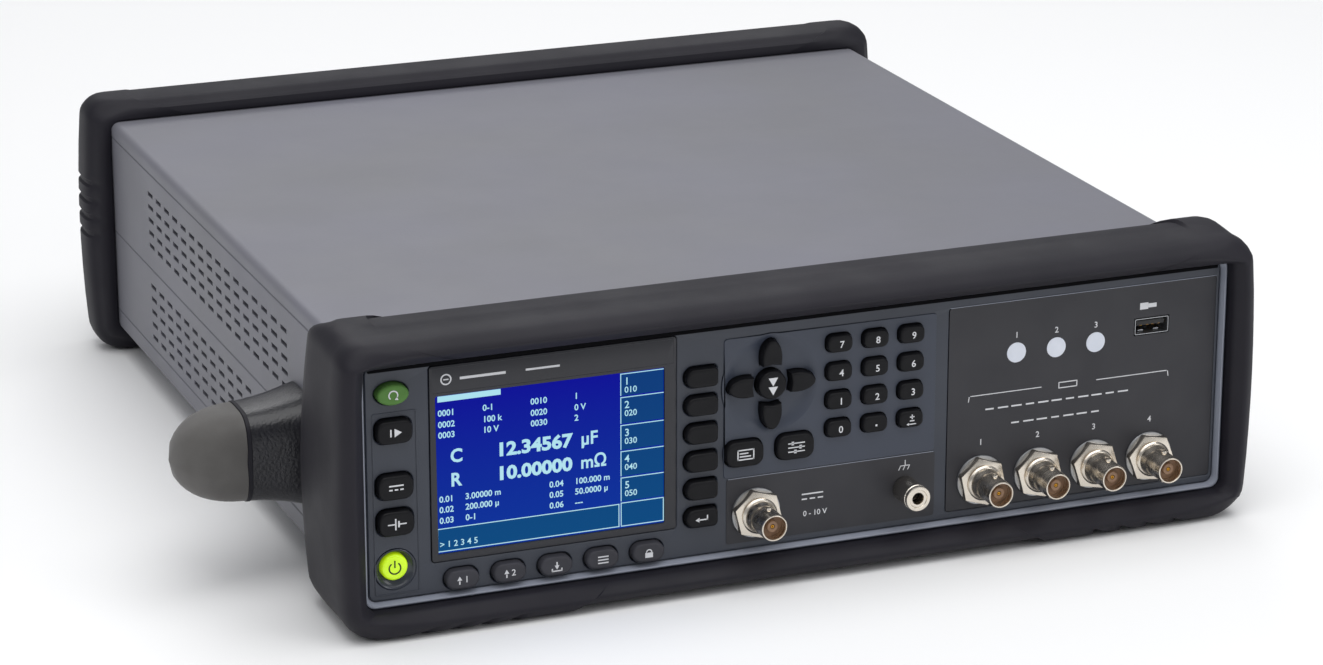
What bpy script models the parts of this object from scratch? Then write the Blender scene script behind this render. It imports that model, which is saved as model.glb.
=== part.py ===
"""Bench LCR meter: a 2U-high box instrument in rubber end bumpers, with a side carrying grip.

Metres, +Z up, front panel facing -Y. The origin is under the middle of the whole object,
on the table. Front-panel features are placed in face coordinates: u from the left edge of
the bezel face, w up from its bottom edge.
"""
import math

import bpy
import bmesh
from mathutils import Vector

MM = 0.001

# ---- driving dimensions -------------------------------------------------------------
GAP = 0.3 * MM                        # air kept between pieces that touch
OVERALL_HEIGHT = 105 * MM
BUMPER_WIDTH = 340 * MM
HANDLE_REACH = 36.5 * MM                # how far the grip stands out past the bumpers
OVERALL_DEPTH = 359 * MM              # terminal tips to the back of the rear bumper

TERMINAL_REACH = 17 * MM              # coaxial sockets stand this far out of the face
FACE_Y = -OVERALL_DEPTH / 2 + TERMINAL_REACH
BODY_X = HANDLE_REACH / 2             # middle of the case, left and right
BODY_Z = 53.1 * MM                    # middle of the case, up and down

CASE_HALF_WIDTH = 159.4 * MM
CASE_HALF_HEIGHT = 42.6 * MM
CASE_RADIUS = 4 * MM
CASE_WALL = 1.2 * MM
CASE_FRONT = FACE_Y + 2.6 * MM
CASE_BACK = FACE_Y + 328 * MM

RIM_REACH = 2 * MM                    # bezel rim in front of the face
RIM_INNER = (158.4 * MM, 41.5 * MM)   # half width, half height
RIM_OUTER = (159.9 * MM, 43.0 * MM)
BEZEL_THICKNESS = 2.2 * MM
PLATE_FRONT = FACE_Y + 0.4 * MM       # metal sub-panel, a little below the bezel face
PLATE_THICKNESS = 1.5 * MM

BUMPER_RADIUS = 12 * MM
BUMPER_Z = OVERALL_HEIGHT / 2
FRONT_BUMPER_FRONT = FACE_Y - 9.5 * MM
REAR_BUMPER_FRONT = FACE_Y + 317 * MM
REAR_BUMPER_BACK = FACE_Y + 342 * MM
FOOT_INNER_X = 91 * MM                # feet and top pads, from the middle of the case
PAD_INNER_X = 150 * MM
FOOT_STEP = 1.6 * MM
PAD_STEP = 1.2 * MM

KEY_PROUD = 2.8 * MM
POWER_PROUD = 0.6 * MM                # the power button sits low in its dish
KEY_TRAVEL = 1.0 * MM
KEY_CLEARANCE = 0.35 * MM
KEY_LIP = 0.9 * MM                    # retaining lip behind the bezel
KEY_LIP_THICKNESS = 1.2 * MM

MAT_THICKNESS = 1.5 * MM
BOARD_THICKNESS = 1.6 * MM

TERMINAL_U = 222.9 * MM
TERMINAL_W = 13.6 * MM
TERMINAL_PITCH = 22 * MM
SOURCE_UW = (137.8 * MM, 13.4 * MM)
GROUND_UW = (193.7 * MM, 14.5 * MM)
USB_UW = (288.4 * MM, 62.2 * MM)
USB_OPENING = (12.5 * MM, 5.1 * MM)

TERMINAL_PLATE_BOX = (209.9 * MM, 313.5 * MM, 3.3 * MM, 77.5 * MM)
WINDOW_BOX = (21.4 * MM, 108.6 * MM, 11.6 * MM, 80.2 * MM)

HANDLE_Y = FACE_Y + 67 * MM
HANDLE_Z = 46.3 * MM
HANDLE_SPLIT = 24.6 * MM              # neck meets grip, from the bumper side outwards

FAN_SIZE = 60 * MM
FAN_DEPTH = 15 * MM
FAN_XZ = (BODY_X - 95 * MM, BODY_Z)
INLET_XZ = (BODY_X + 125 * MM, BODY_Z - 8 * MM)
INLET_OPENING = (24 * MM, 16.5 * MM)

# ---- colours: name -> (rgb, roughness, metallic) ------------------------------------
FINISHES = {
    "bumper_rubber": ((0.036, 0.032, 0.038), 0.55, 0.0),
    "grey_paint": ((0.24, 0.255, 0.29), 0.5, 0.0),
    "slate_plastic": ((0.052, 0.058, 0.08), 0.45, 0.0),
    "key_black": ((0.013, 0.013, 0.016), 0.45, 0.0),
    "key_grey": ((0.045, 0.045, 0.05), 0.45, 0.0),
    "key_green": ((0.11, 0.26, 0.06), 0.4, 0.0),
    "key_lime": ((0.62, 0.93, 0.01), 0.35, 0.0),
    "plate_paint": ((0.034, 0.032, 0.038), 0.5, 0.0),
    "nickel": ((0.62, 0.58, 0.52), 0.25, 1.0),
    "zinc_steel": ((0.55, 0.56, 0.57), 0.4, 1.0),
    "lens_plastic": ((0.02, 0.03, 0.2), 0.08, 0.0),
    "module_plastic": ((0.03, 0.03, 0.03), 0.5, 0.0),
    "silicone": ((0.2, 0.2, 0.21), 0.6, 0.0),
    "circuit_board": ((0.02, 0.13, 0.05), 0.5, 0.0),
    "neck_plastic": ((0.012, 0.012, 0.017), 0.25, 0.0),
    "grip_rubber": ((0.11, 0.107, 0.102), 0.6, 0.0),
}


def clear_scene():
    for item in list(bpy.data.objects):
        bpy.data.objects.remove(item, do_unlink=True)


def finish(name):
    found = bpy.data.materials.get(name)
    if found:
        return found
    colour, roughness, metallic = FINISHES[name]
    made = bpy.data.materials.new(name)
    made.use_nodes = True
    shader = made.node_tree.nodes["Principled BSDF"]
    shader.inputs["Base Color"].default_value = (*colour, 1.0)
    shader.inputs["Roughness"].default_value = roughness
    shader.inputs["Metallic"].default_value = metallic
    made.diffuse_color = (*colour, 1.0)
    return made


def add_part(name, bm, finish_name, origin=(0, 0, 0)):
    """Close off a bmesh built in world coordinates and give it its own origin."""
    bmesh.ops.remove_doubles(bm, verts=bm.verts, dist=0.001 * MM)
    bmesh.ops.recalc_face_normals(bm, faces=bm.faces)
    bmesh.ops.translate(bm, verts=bm.verts, vec=-Vector(origin))
    mesh = bpy.data.meshes.new(name)
    bm.to_mesh(mesh)
    bm.free()
    mesh.materials.append(finish(finish_name))
    part = bpy.data.objects.new(name, mesh)
    part.location = origin
    bpy.context.scene.collection.objects.link(part)
    return part


# ---- outlines in the XZ plane: lists of (x, z) ---------------------------------------
def arc(cx, cz, rx, rz, start, stop, steps):
    angles = [math.radians(start + (stop - start) * i / steps) for i in range(steps + 1)]
    return [(cx + rx * math.cos(a), cz + rz * math.sin(a)) for a in angles]


def circle(cx, cz, radius, steps):
    return arc(cx, cz, radius, radius, 0, 360, steps)[:-1]


def ellipse(cx, cz, width, height, steps):
    return arc(cx, cz, width / 2, height / 2, 0, 360, steps)[:-1]


def rounded_box(cx, cz, width, height, radius, steps=3, left_radius=None):
    """Rounded rectangle, anticlockwise from the lower right corner."""
    left = radius if left_radius is None else left_radius
    hw, hh = width / 2, height / 2
    points = []
    for sx, sz, start, r in ((1, -1, 270, radius), (1, 1, 0, radius), (-1, 1, 90, left), (-1, -1, 180, left)):
        points += arc(cx + sx * (hw - r), cz + sz * (hh - r), r, r, start, start + 90, steps)
    return points


def polygon(cx, cz, apothem, sides, steps, turn=0.0):
    """A nut outline sampled at even angles, so that it lofts onto a circle."""
    points = []
    sector = 2 * math.pi / sides
    for i in range(steps):
        angle = 2 * math.pi * i / steps
        reach = apothem / math.cos((angle % sector) - sector / 2)
        points.append((cx + reach * math.cos(angle + turn), cz + reach * math.sin(angle + turn)))
    return points


def petal(cx, cz, length, width, heading):
    """Cursor key: straight across its inner end, rounded to a point outwards."""
    half = width / 2
    shoulder = length * 0.3
    local = [(shoulder + (length - shoulder) * math.sin(a), half * math.cos(a))
             for a in [math.pi * i / 10 for i in range(11)]]
    local += [(0.0, -half * 0.94), (length * 0.09, 0.0), (0.0, half * 0.94)]
    c, s = math.cos(heading), math.sin(heading)
    return [(cx + t * c - q * s, cz + t * s + q * c) for t, q in local]


def scaled(outline, extra):
    """The outline grown by about `extra` all round its middle."""
    xs = [p[0] for p in outline]
    zs = [p[1] for p in outline]
    cx, cz = (min(xs) + max(xs)) / 2, (min(zs) + max(zs)) / 2
    kx = 1 + 2 * extra / (max(xs) - min(xs))
    kz = 1 + 2 * extra / (max(zs) - min(zs))
    return [(cx + (x - cx) * kx, cz + (z - cz) * kz) for x, z in outline]


# ---- solids from rings ----------------------------------------------------------------
def ring(bm, outline, y):
    return [bm.verts.new((x, y, z)) for x, z in outline]


def bridge(bm, first, second):
    count = len(first)
    for i in range(count):
        j = (i + 1) % count
        bm.faces.new((first[i], first[j], second[j], second[i]))


def fill(bm, *rings):
    """Flat face bounded by the first ring, with the others as holes."""
    edges = []
    for loop in rings:
        for i, vert in enumerate(loop):
            pair = (vert, loop[(i + 1) % len(loop)])
            edges.append(bm.edges.get(pair) or bm.edges.new(pair))
    bmesh.ops.triangle_fill(bm, use_beauty=True, use_dissolve=False, edges=edges)


def loft(bm, rings, close=False):
    for first, second in zip(rings, rings[1:]):
        bridge(bm, first, second)
    if close:
        bridge(bm, rings[-1], rings[0])
    else:
        fill(bm, rings[0])
        fill(bm, rings[-1])


def plate(bm, outer, holes, y0, y1):
    front = [ring(bm, outline, y0) for outline in [outer] + holes]
    back = [ring(bm, outline, y1) for outline in [outer] + holes]
    for a, b in zip(front, back):
        bridge(bm, a, b)
    fill(bm, *front)
    fill(bm, *back)


def lathe(bm, cx, cz, profile, steps, outline=None):
    """Turned part along Y from (radius, y) pairs; a pair may name a nut outline instead."""
    rings = []
    for radius, y in profile:
        points = outline(cx, cz, -radius) if radius < 0 else circle(cx, cz, radius, steps)
        rings.append(ring(bm, points, y))
    loft(bm, rings)


def stepped_slab(bm, low, high, blocks):
    """Slab between two corners with rectangular blocks (x0, x1, y0, y1, height) on top."""
    xs = sorted({low[0], high[0], *[b[0] for b in blocks], *[b[1] for b in blocks]})
    ys = sorted({low[1], high[1], *[b[2] for b in blocks], *[b[3] for b in blocks]})
    grid = [[bm.verts.new((x, y, high[2])) for y in ys] for x in xs]
    cells = {}
    for i in range(len(xs) - 1):
        for j in range(len(ys) - 1):
            corners = (grid[i][j], grid[i + 1][j], grid[i + 1][j + 1], grid[i][j + 1])
            cells[i, j] = bm.faces.new(corners)
    below = bmesh.ops.extrude_face_region(bm, geom=list(cells.values()), use_keep_orig=True)
    moved = [g for g in below["geom"] if isinstance(g, bmesh.types.BMVert)]
    bmesh.ops.translate(bm, verts=moved, vec=(0, 0, low[2] - high[2]))
    for x0, x1, y0, y1, height in blocks:
        tops = [face for (i, j), face in cells.items() if x0 <= xs[i] < x1 and y0 <= ys[j] < y1]
        raised = bmesh.ops.extrude_face_region(bm, geom=tops)
        verts = [g for g in raised["geom"] if isinstance(g, bmesh.types.BMVert)]
        bmesh.ops.translate(bm, verts=verts, vec=(0, 0, height))
        covered = [face for face in tops if face.is_valid]
        bmesh.ops.delete(bm, geom=covered, context="FACES_ONLY")


def face_x(u):
    return BODY_X - 157 * MM + u


def face_z(w):
    return BODY_Z - 41.6 * MM + w


def face_box(box, grow=0.0, radius=1 * MM):
    u0, u1, w0, w1 = box
    return rounded_box(face_x((u0 + u1) / 2), face_z((w0 + w1) / 2),
                       u1 - u0 + 2 * grow, w1 - w0 + 2 * grow, radius, 1)


# ---- keys -------------------------------------------------------------------------------
def key_layout():
    """name -> (outline, finish) for every key on the front."""
    keys = {}

    def put(name, u, w, width, height, radius, finish_name="key_black", left_radius=None):
        outline = rounded_box(face_x(u * MM), face_z(w * MM), width * MM, height * MM,
                              radius * MM, 3, left_radius and left_radius * MM)
        keys[name] = (outline, finish_name)

    keys["key_preset"] = (ellipse(face_x(8.2 * MM), face_z(73 * MM), 11.2 * MM, 7.3 * MM, 16), "key_green")
    put("key_trigger", 8.6, 60.0, 12.4, 8.2, 3.2)
    put("key_dc_bias", 8.6, 40.7, 12.4, 8.6, 3.2)
    put("key_dc_source", 8.6, 28.1, 12.4, 8.8, 3.2)
    keys["power_button"] = (circle(face_x(8.2 * MM), face_z(12 * MM), 4.7 * MM, 18), "key_lime")
    for i, name in enumerate(("recall_a", "recall_b", "save", "system", "local")):
        put("key_" + name, 31.3 + 16.6 * i, 5.1, 11.7, 6.9, 3.4, "key_grey")
    for i in range(6):
        name = "key_return" if i == 5 else "softkey_%d" % (i + 1)
        put(name, 117.3, 65.0 - 10.05 * i, 11.6, 6.8, 1.4, left_radius=3.3)
    hub = (142.9 * MM, 59.3 * MM)
    keys["key_cursor_centre"] = (circle(face_x(hub[0]), face_z(hub[1]), 5.2 * MM, 18), "key_black")
    for name, heading in (("right", 0), ("up", 90), ("left", 180), ("down", 270)):
        a = math.radians(heading)
        start = 6.3 * MM
        outline = petal(face_x(hub[0]) + start * math.cos(a), face_z(hub[1]) + start * math.sin(a),
                        9.9 * MM, 8.2 * MM, a)
        keys["key_cursor_" + name] = (outline, "key_black")
    put("key_display_format", 133.0, 35.8, 13.7, 9.2, 3.6)
    put("key_meas_setup", 151.7, 36.0, 13.7, 9.2, 3.6)
    rows = (("7", "8", "9"), ("4", "5", "6"), ("1", "2", "3"), ("0", "point", "sign"))
    for r, row in enumerate(rows):
        for c, label in enumerate(row):
            put("key_" + label, 167.8 + 13.5 * c, 71.0 - 10.2 * r, 9.2, 6.2, 2.6)
    return keys


def build_key(name, outline, finish_name):
    lip = scaled(outline, KEY_LIP)
    front = FACE_Y - (POWER_PROUD if name == "power_button" else KEY_PROUD)
    inner = FACE_Y + BEZEL_THICKNESS + GAP
    bm = bmesh.new()
    loft(bm, [ring(bm, lip, inner + KEY_LIP_THICKNESS), ring(bm, lip, inner), ring(bm, outline, inner),
              ring(bm, outline, front + 0.6 * MM),
              ring(bm, scaled(outline, -0.6 * MM), front)])
    xs = [p[0] for p in outline]
    zs = [p[1] for p in outline]
    middle = ((min(xs) + max(xs)) / 2, FACE_Y, (min(zs) + max(zs)) / 2)
    add_part(name, bm, finish_name, middle)


# ---- front panel --------------------------------------------------------------------------
def build_bezel(keys):
    holes = [scaled(outline, KEY_CLEARANCE) for outline, _ in keys.values()]
    holes.append(face_box(WINDOW_BOX, GAP))
    holes.append(face_box(TERMINAL_PLATE_BOX, GAP))
    holes.append(circle(face_x(SOURCE_UW[0]), face_z(SOURCE_UW[1]), 5.4 * MM, 18))
    holes.append(circle(face_x(GROUND_UW[0]), face_z(GROUND_UW[1]), 4.0 * MM, 18))
    back = FACE_Y + BEZEL_THICKNESS
    inner = rounded_box(BODY_X, BODY_Z, 2 * RIM_INNER[0], 2 * RIM_INNER[1], 3 * MM)
    outer = rounded_box(BODY_X, BODY_Z, 2 * RIM_OUTER[0], 2 * RIM_OUTER[1], 4 * MM)
    bm = bmesh.new()
    rim = [ring(bm, inner, FACE_Y), ring(bm, inner, FACE_Y - RIM_REACH),
           ring(bm, outer, FACE_Y - RIM_REACH), ring(bm, outer, back)]
    for first, second in zip(rim, rim[1:]):
        bridge(bm, first, second)
    front_holes = [ring(bm, h, FACE_Y) for h in holes]
    back_holes = [ring(bm, h, back) for h in holes]
    for a, b in zip(front_holes, back_holes):
        bridge(bm, a, b)
    fill(bm, rim[0], *front_holes)
    fill(bm, rim[-1], *back_holes)
    add_part("front_bezel", bm, "slate_plastic")


def build_terminal_plate():
    holes = [circle(face_x(TERMINAL_U + i * TERMINAL_PITCH), face_z(TERMINAL_W), 5.4 * MM, 18)
             for i in range(4)]
    holes.append(rounded_box(face_x(USB_UW[0]), face_z(USB_UW[1]), USB_OPENING[0] + 1.4 * MM,
                             USB_OPENING[1] + 1.4 * MM, 0.5 * MM, 1))
    bm = bmesh.new()
    plate(bm, face_box(TERMINAL_PLATE_BOX), holes, PLATE_FRONT, PLATE_FRONT + PLATE_THICKNESS)
    add_part("terminal_plate", bm, "plate_paint")


def build_display():
    bm = bmesh.new()
    plate(bm, face_box(WINDOW_BOX), [], FACE_Y + 0.1 * MM, FACE_Y + 1.3 * MM)
    add_part("display_window", bm, "lens_plastic")
    bm = bmesh.new()
    plate(bm, face_box(WINDOW_BOX, -1.2 * MM), [], FACE_Y + 1.3 * MM + GAP, FACE_Y + 11 * MM)
    add_part("display_module", bm, "module_plastic")


def build_key_backing():
    """Dome mat and contact board, both cut away round the display and the two sockets."""
    outer = (0.8 * MM, 207 * MM, 0.8 * MM, 82 * MM)
    holes = [face_box(WINDOW_BOX, 0.5 * MM),
             circle(face_x(SOURCE_UW[0]), face_z(SOURCE_UW[1]), 9 * MM, 18),
             circle(face_x(GROUND_UW[0]), face_z(GROUND_UW[1]), 5.5 * MM, 18)]
    mat_front = FACE_Y + BEZEL_THICKNESS + GAP + KEY_LIP_THICKNESS + KEY_TRAVEL + GAP
    bm = bmesh.new()
    plate(bm, face_box(outer), holes, mat_front, mat_front + MAT_THICKNESS)
    add_part("keypad_mat", bm, "silicone")
    board_front = mat_front + MAT_THICKNESS + GAP
    bm = bmesh.new()
    plate(bm, face_box(outer), holes, board_front, board_front + BOARD_THICKNESS)
    add_part("key_board", bm, "circuit_board")


def nut_outline(apothem, steps, turn):
    return lambda cx, cz, _: polygon(cx, cz, apothem, 6, steps, turn)


def build_coaxial_socket(name, u, w, panel_front, panel_back, turn):
    """Turned bayonet socket, its nut in front of the panel and its flange behind."""
    cx, cz = face_x(u), face_z(w)
    tip = FACE_Y - TERMINAL_REACH
    nut_back = panel_front - GAP
    nut_front = nut_back - 2.6 * MM
    profile = [(4.4, panel_back + 12 * MM), (4.4, panel_back + 4 * MM), (7.0, panel_back + 4 * MM),
               (7.0, panel_back + GAP), (4.9, panel_back + GAP), (4.9, nut_back), (-1, nut_back),
               (-1, nut_front), (6.2, nut_front), (5.6, nut_front - 1.2 * MM), (4.85, nut_front - 2.6 * MM),
               (4.85, tip), (4.1, tip), (4.1, tip + 8 * MM), (1.1, tip + 8 * MM), (1.1, tip + 3.2 * MM)]
    profile = [(r if r < 0 else r * MM, y) for r, y in profile]
    bm = bmesh.new()
    lathe(bm, cx, cz, profile, 18, nut_outline(7.9 * MM, 18, turn))
    add_part(name, bm, "nickel", (cx, FACE_Y, cz))


def build_ground_post():
    cx, cz = face_x(GROUND_UW[0]), face_z(GROUND_UW[1])
    back = FACE_Y + BEZEL_THICKNESS
    tip = FACE_Y - 12 * MM
    profile = [(2.0, back + 10 * MM), (2.0, back + 2.6 * MM), (4.6, back + 2.6 * MM), (4.6, back + GAP),
               (3.4, back + GAP), (3.4, FACE_Y - GAP), (4.6, FACE_Y - GAP), (4.6, tip), (2.05, tip),
               (2.05, tip + 9 * MM)]
    bm = bmesh.new()
    lathe(bm, cx, cz, [(r * MM, y) for r, y in profile], 18)
    add_part("ground_post", bm, "nickel", (cx, FACE_Y, cz))


def build_usb_socket():
    cx, cz = face_x(USB_UW[0]), face_z(USB_UW[1])
    width, height = USB_OPENING
    shell = rounded_box(cx, cz, width + 0.8 * MM, height + 0.8 * MM, 0.4 * MM, 1)
    mouth = rounded_box(cx, cz, width, height, 0.2 * MM, 1)
    front = PLATE_FRONT - 0.3 * MM
    bm = bmesh.new()
    loft(bm, [ring(bm, shell, front + 14 * MM), ring(bm, shell, front), ring(bm, mouth, front),
              ring(bm, mouth, front + 12 * MM)])
    add_part("usb_socket", bm, "zinc_steel", (cx, front, cz))


# ---- case and bumpers ------------------------------------------------------------------------
def case_outline(inset, radius):
    return rounded_box(BODY_X, BODY_Z, 2 * (CASE_HALF_WIDTH - inset), 2 * (CASE_HALF_HEIGHT - inset), radius)


def build_cover():
    bm = bmesh.new()
    plate(bm, case_outline(0, CASE_RADIUS), [case_outline(CASE_WALL, CASE_RADIUS - CASE_WALL)],
          CASE_FRONT, CASE_BACK)
    add_part("cover", bm, "grey_paint")


def bumper_outline(grow, radius):
    """Bumper outer outline, raised over its corner pads and lowered over its feet."""
    half_width = BUMPER_WIDTH / 2 + grow
    low = FOOT_STEP - grow
    high = OVERALL_HEIGHT - PAD_STEP + grow
    slope = 1.6 * MM
    points = arc(BODY_X + half_width - radius, low - FOOT_STEP + radius, radius, radius, 270, 360, 4)
    points += arc(BODY_X + half_width - radius, high + PAD_STEP - radius, radius, radius, 0, 90, 4)
    points += [(BODY_X + PAD_INNER_X, high + PAD_STEP), (BODY_X + PAD_INNER_X - slope, high),
               (BODY_X - PAD_INNER_X + slope, high), (BODY_X - PAD_INNER_X, high + PAD_STEP)]
    points += arc(BODY_X - half_width + radius, high + PAD_STEP - radius, radius, radius, 90, 180, 4)
    points += arc(BODY_X - half_width + radius, low - FOOT_STEP + radius, radius, radius, 180, 270, 4)
    points += [(BODY_X - FOOT_INNER_X, low - FOOT_STEP), (BODY_X - FOOT_INNER_X + slope, low),
               (BODY_X + FOOT_INNER_X - slope, low), (BODY_X + FOOT_INNER_X, low - FOOT_STEP)]
    return points


def tunnel_outline(half_width, half_height, radius):
    """Inner outline of a bumper, with its points in step with bumper_outline."""
    right, top = BODY_X + half_width, BODY_Z + half_height
    left, bottom = BODY_X - half_width, BODY_Z - half_height
    inner = radius
    points = arc(right - inner, bottom + inner, inner, inner, 270, 360, 4)
    points += arc(right - inner, top - inner, inner, inner, 0, 90, 4)
    points += [(BODY_X + PAD_INNER_X, top), (BODY_X + PAD_INNER_X - 2 * MM, top),
               (BODY_X - PAD_INNER_X + 2 * MM, top), (BODY_X - PAD_INNER_X, top)]
    points += arc(left + inner, top - inner, inner, inner, 90, 180, 4)
    points += arc(left + inner, bottom + inner, inner, inner, 180, 270, 4)
    points += [(BODY_X - FOOT_INNER_X, bottom), (BODY_X - FOOT_INNER_X + 2 * MM, bottom),
               (BODY_X + FOOT_INNER_X - 2 * MM, bottom), (BODY_X + FOOT_INNER_X, bottom)]
    return points


def side_ring(bm, outline, y, side_extra):
    """Ring whose sides run further back than its top and bottom."""
    half = BUMPER_WIDTH / 2
    reach = []
    for x, _ in outline:
        t = (abs(x - BODY_X) - (half - 14 * MM)) / (10 * MM)
        reach.append(side_extra * min(1.0, max(0.0, t)))
    return [bm.verts.new((x, y + extra, z)) for (x, z), extra in zip(outline, reach)]


def build_front_bumper():
    lip = tunnel_outline(RIM_OUTER[0] + GAP, RIM_OUTER[1] + GAP, 4.3 * MM)
    tunnel = tunnel_outline(CASE_HALF_WIDTH + 0.4 * MM, CASE_HALF_HEIGHT + 0.4 * MM, CASE_RADIUS)
    full = bumper_outline(0, BUMPER_RADIUS)
    step = FACE_Y + BEZEL_THICKNESS + GAP
    bm = bmesh.new()
    rings = [ring(bm, lip, FRONT_BUMPER_FRONT + 2.5 * MM),
             ring(bm, tunnel_outline(RIM_OUTER[0] + 1.5 * MM, RIM_OUTER[1] + 1.5 * MM, 5 * MM), FRONT_BUMPER_FRONT),
             ring(bm, bumper_outline(-4.5 * MM, BUMPER_RADIUS - 4.5 * MM), FRONT_BUMPER_FRONT),
             ring(bm, bumper_outline(-1.4 * MM, BUMPER_RADIUS - 1.4 * MM), FRONT_BUMPER_FRONT + 1.8 * MM),
             ring(bm, full, FRONT_BUMPER_FRONT + 5 * MM),
             side_ring(bm, full, FACE_Y + 22 * MM, 16 * MM),
             side_ring(bm, bumper_outline(-3 * MM, BUMPER_RADIUS - 3 * MM), FACE_Y + 28 * MM, 16 * MM),
             side_ring(bm, tunnel, FACE_Y + 32 * MM, 16 * MM),
             ring(bm, tunnel, step), ring(bm, lip, step)]
    loft(bm, rings, close=True)
    add_part("front_bumper", bm, "bumper_rubber")


def build_rear_bumper():
    mouth = tunnel_outline(CASE_HALF_WIDTH - 1 * MM, CASE_HALF_HEIGHT - 1 * MM, CASE_RADIUS)
    tunnel = tunnel_outline(CASE_HALF_WIDTH + 0.4 * MM, CASE_HALF_HEIGHT + 0.4 * MM, CASE_RADIUS)
    full = bumper_outline(0, BUMPER_RADIUS)
    bm = bmesh.new()
    rings = [ring(bm, tunnel, REAR_BUMPER_FRONT),
             ring(bm, bumper_outline(-4 * MM, BUMPER_RADIUS - 4 * MM), REAR_BUMPER_FRONT),
             ring(bm, bumper_outline(-1.2 * MM, BUMPER_RADIUS - 1.2 * MM), REAR_BUMPER_FRONT + 1.6 * MM),
             ring(bm, full, REAR_BUMPER_FRONT + 5 * MM),
             ring(bm, full, REAR_BUMPER_BACK - 6 * MM),
             ring(bm, bumper_outline(-1.8 * MM, BUMPER_RADIUS - 1.8 * MM), REAR_BUMPER_BACK - 1.8 * MM),
             ring(bm, bumper_outline(-5 * MM, BUMPER_RADIUS - 5 * MM), REAR_BUMPER_BACK),
             ring(bm, mouth, REAR_BUMPER_BACK), ring(bm, mouth, CASE_BACK + GAP),
             ring(bm, tunnel, CASE_BACK + GAP)]
    loft(bm, rings, close=True)
    add_part("rear_bumper", bm, "bumper_rubber")


def handle_section(bm, x, half_depth, half_height):
    """Rounded section across the side grip, in the YZ plane at x."""
    radius = min(half_depth, half_height) * 0.62
    outline = rounded_box(HANDLE_Y, HANDLE_Z, 2 * half_depth, 2 * half_height, radius, 3)
    return [bm.verts.new((x, y, z)) for y, z in outline]


def build_handle():
    wall = BODY_X - CASE_HALF_WIDTH - GAP
    side = BODY_X - BUMPER_WIDTH / 2
    tip = side - HANDLE_REACH
    split = tip + HANDLE_SPLIT
    bm = bmesh.new()
    loft(bm, [handle_section(bm, wall, 17 * MM, 20 * MM),
              handle_section(bm, wall - 9 * MM, 15.5 * MM, 18.4 * MM),
              handle_section(bm, split + GAP, 14 * MM, 16.0 * MM)])
    add_part("handle_neck", bm, "neck_plastic")
    bm = bmesh.new()
    shape = ((0.0, 14.0, 15.9), (8.0, 13.4, 15.4), (14.0, 12.2, 14.4), (18.5, 10.4, 12.6),
             (22.0, 7.8, 9.6), (24.0, 4.6, 5.8), (24.6, 2.0, 2.6))
    loft(bm, [handle_section(bm, split - out * MM, depth * MM, height * MM)
              for out, depth, height in shape])
    add_part("handle_grip", bm, "grip_rubber")


# ---- inside and rear -----------------------------------------------------------------------
def build_chassis():
    inset = CASE_WALL + 1.3 * MM
    x0, x1 = BODY_X - CASE_HALF_WIDTH + inset, BODY_X + CASE_HALF_WIDTH - inset
    y0, y1 = FACE_Y + 12 * MM, CASE_BACK - 4 * MM
    floor = BODY_Z - CASE_HALF_HEIGHT + inset
    wall = 1.2 * MM
    blocks = [(x0, x0 + wall, y0, y1, 18 * MM), (x1 - wall, x1, y0, y1, 18 * MM)]
    for px in (x0 + 22 * MM, x1 - 28 * MM):
        for py in (y0 + 30 * MM, y0 + 180 * MM):
            blocks.append((px, px + 6 * MM, py, py + 6 * MM, 4.5 * MM))
    bm = bmesh.new()
    stepped_slab(bm, (x0, y0, floor), (x1, y1, floor + wall), blocks)
    add_part("chassis", bm, "zinc_steel")
    return floor + wall + 4.5 * MM


def build_boards(standoff_top):
    x0, x1 = BODY_X - 140 * MM, BODY_X + 140 * MM
    y0 = FACE_Y + 30 * MM
    low = standoff_top + GAP
    chips = [(x0 + dx * MM, x0 + (dx + w) * MM, y0 + dy * MM, y0 + (dy + d) * MM, h * MM)
             for dx, dy, w, d, h in ((30, 25, 28, 28, 3), (90, 30, 36, 22, 9), (150, 40, 20, 20, 2.5),
                                     (195, 25, 60, 45, 16), (40, 90, 45, 60, 12), (120, 100, 30, 30, 4),
                                     (180, 110, 26, 40, 14), (230, 100, 22, 22, 6))]
    bm = bmesh.new()
    stepped_slab(bm, (x0, y0, low), (x1, y0 + 190 * MM, low + BOARD_THICKNESS), chips)
    add_part("main_board", bm, "circuit_board")
    sx, sy = BODY_X - 10 * MM, FACE_Y + 232 * MM
    cans = [(sx + dx * MM, sx + (dx + w) * MM, sy + dy * MM, sy + (dy + d) * MM, h * MM)
            for dx, dy, w, d, h in ((8, 12, 40, 46, 38), (60, 14, 18, 18, 32), (60, 42, 18, 18, 32),
                                    (90, 12, 10, 52, 42), (112, 20, 24, 30, 24))]
    bm = bmesh.new()
    stepped_slab(bm, (sx, sy, low), (sx + 145 * MM, sy + 76 * MM, low + BOARD_THICKNESS), cans)
    add_part("power_supply", bm, "circuit_board")


def fan_slots(cx, cz):
    """Horizontal finger-guard slots that fill a circle in front of the fan."""
    slots = []
    radius, pitch, height = 27 * MM, 6 * MM, 3.2 * MM
    for i in range(-4, 5):
        z = cz + i * pitch
        half = math.sqrt(radius ** 2 - (abs(i) * pitch) ** 2)
        if half > 6 * MM:
            slots.append(rounded_box(cx - half / 2 - 0.6 * MM, z, half - 1.2 * MM, height, 1 * MM, 1))
            slots.append(rounded_box(cx + half / 2 + 0.6 * MM, z, half - 1.2 * MM, height, 1 * MM, 1))
    return slots


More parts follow.
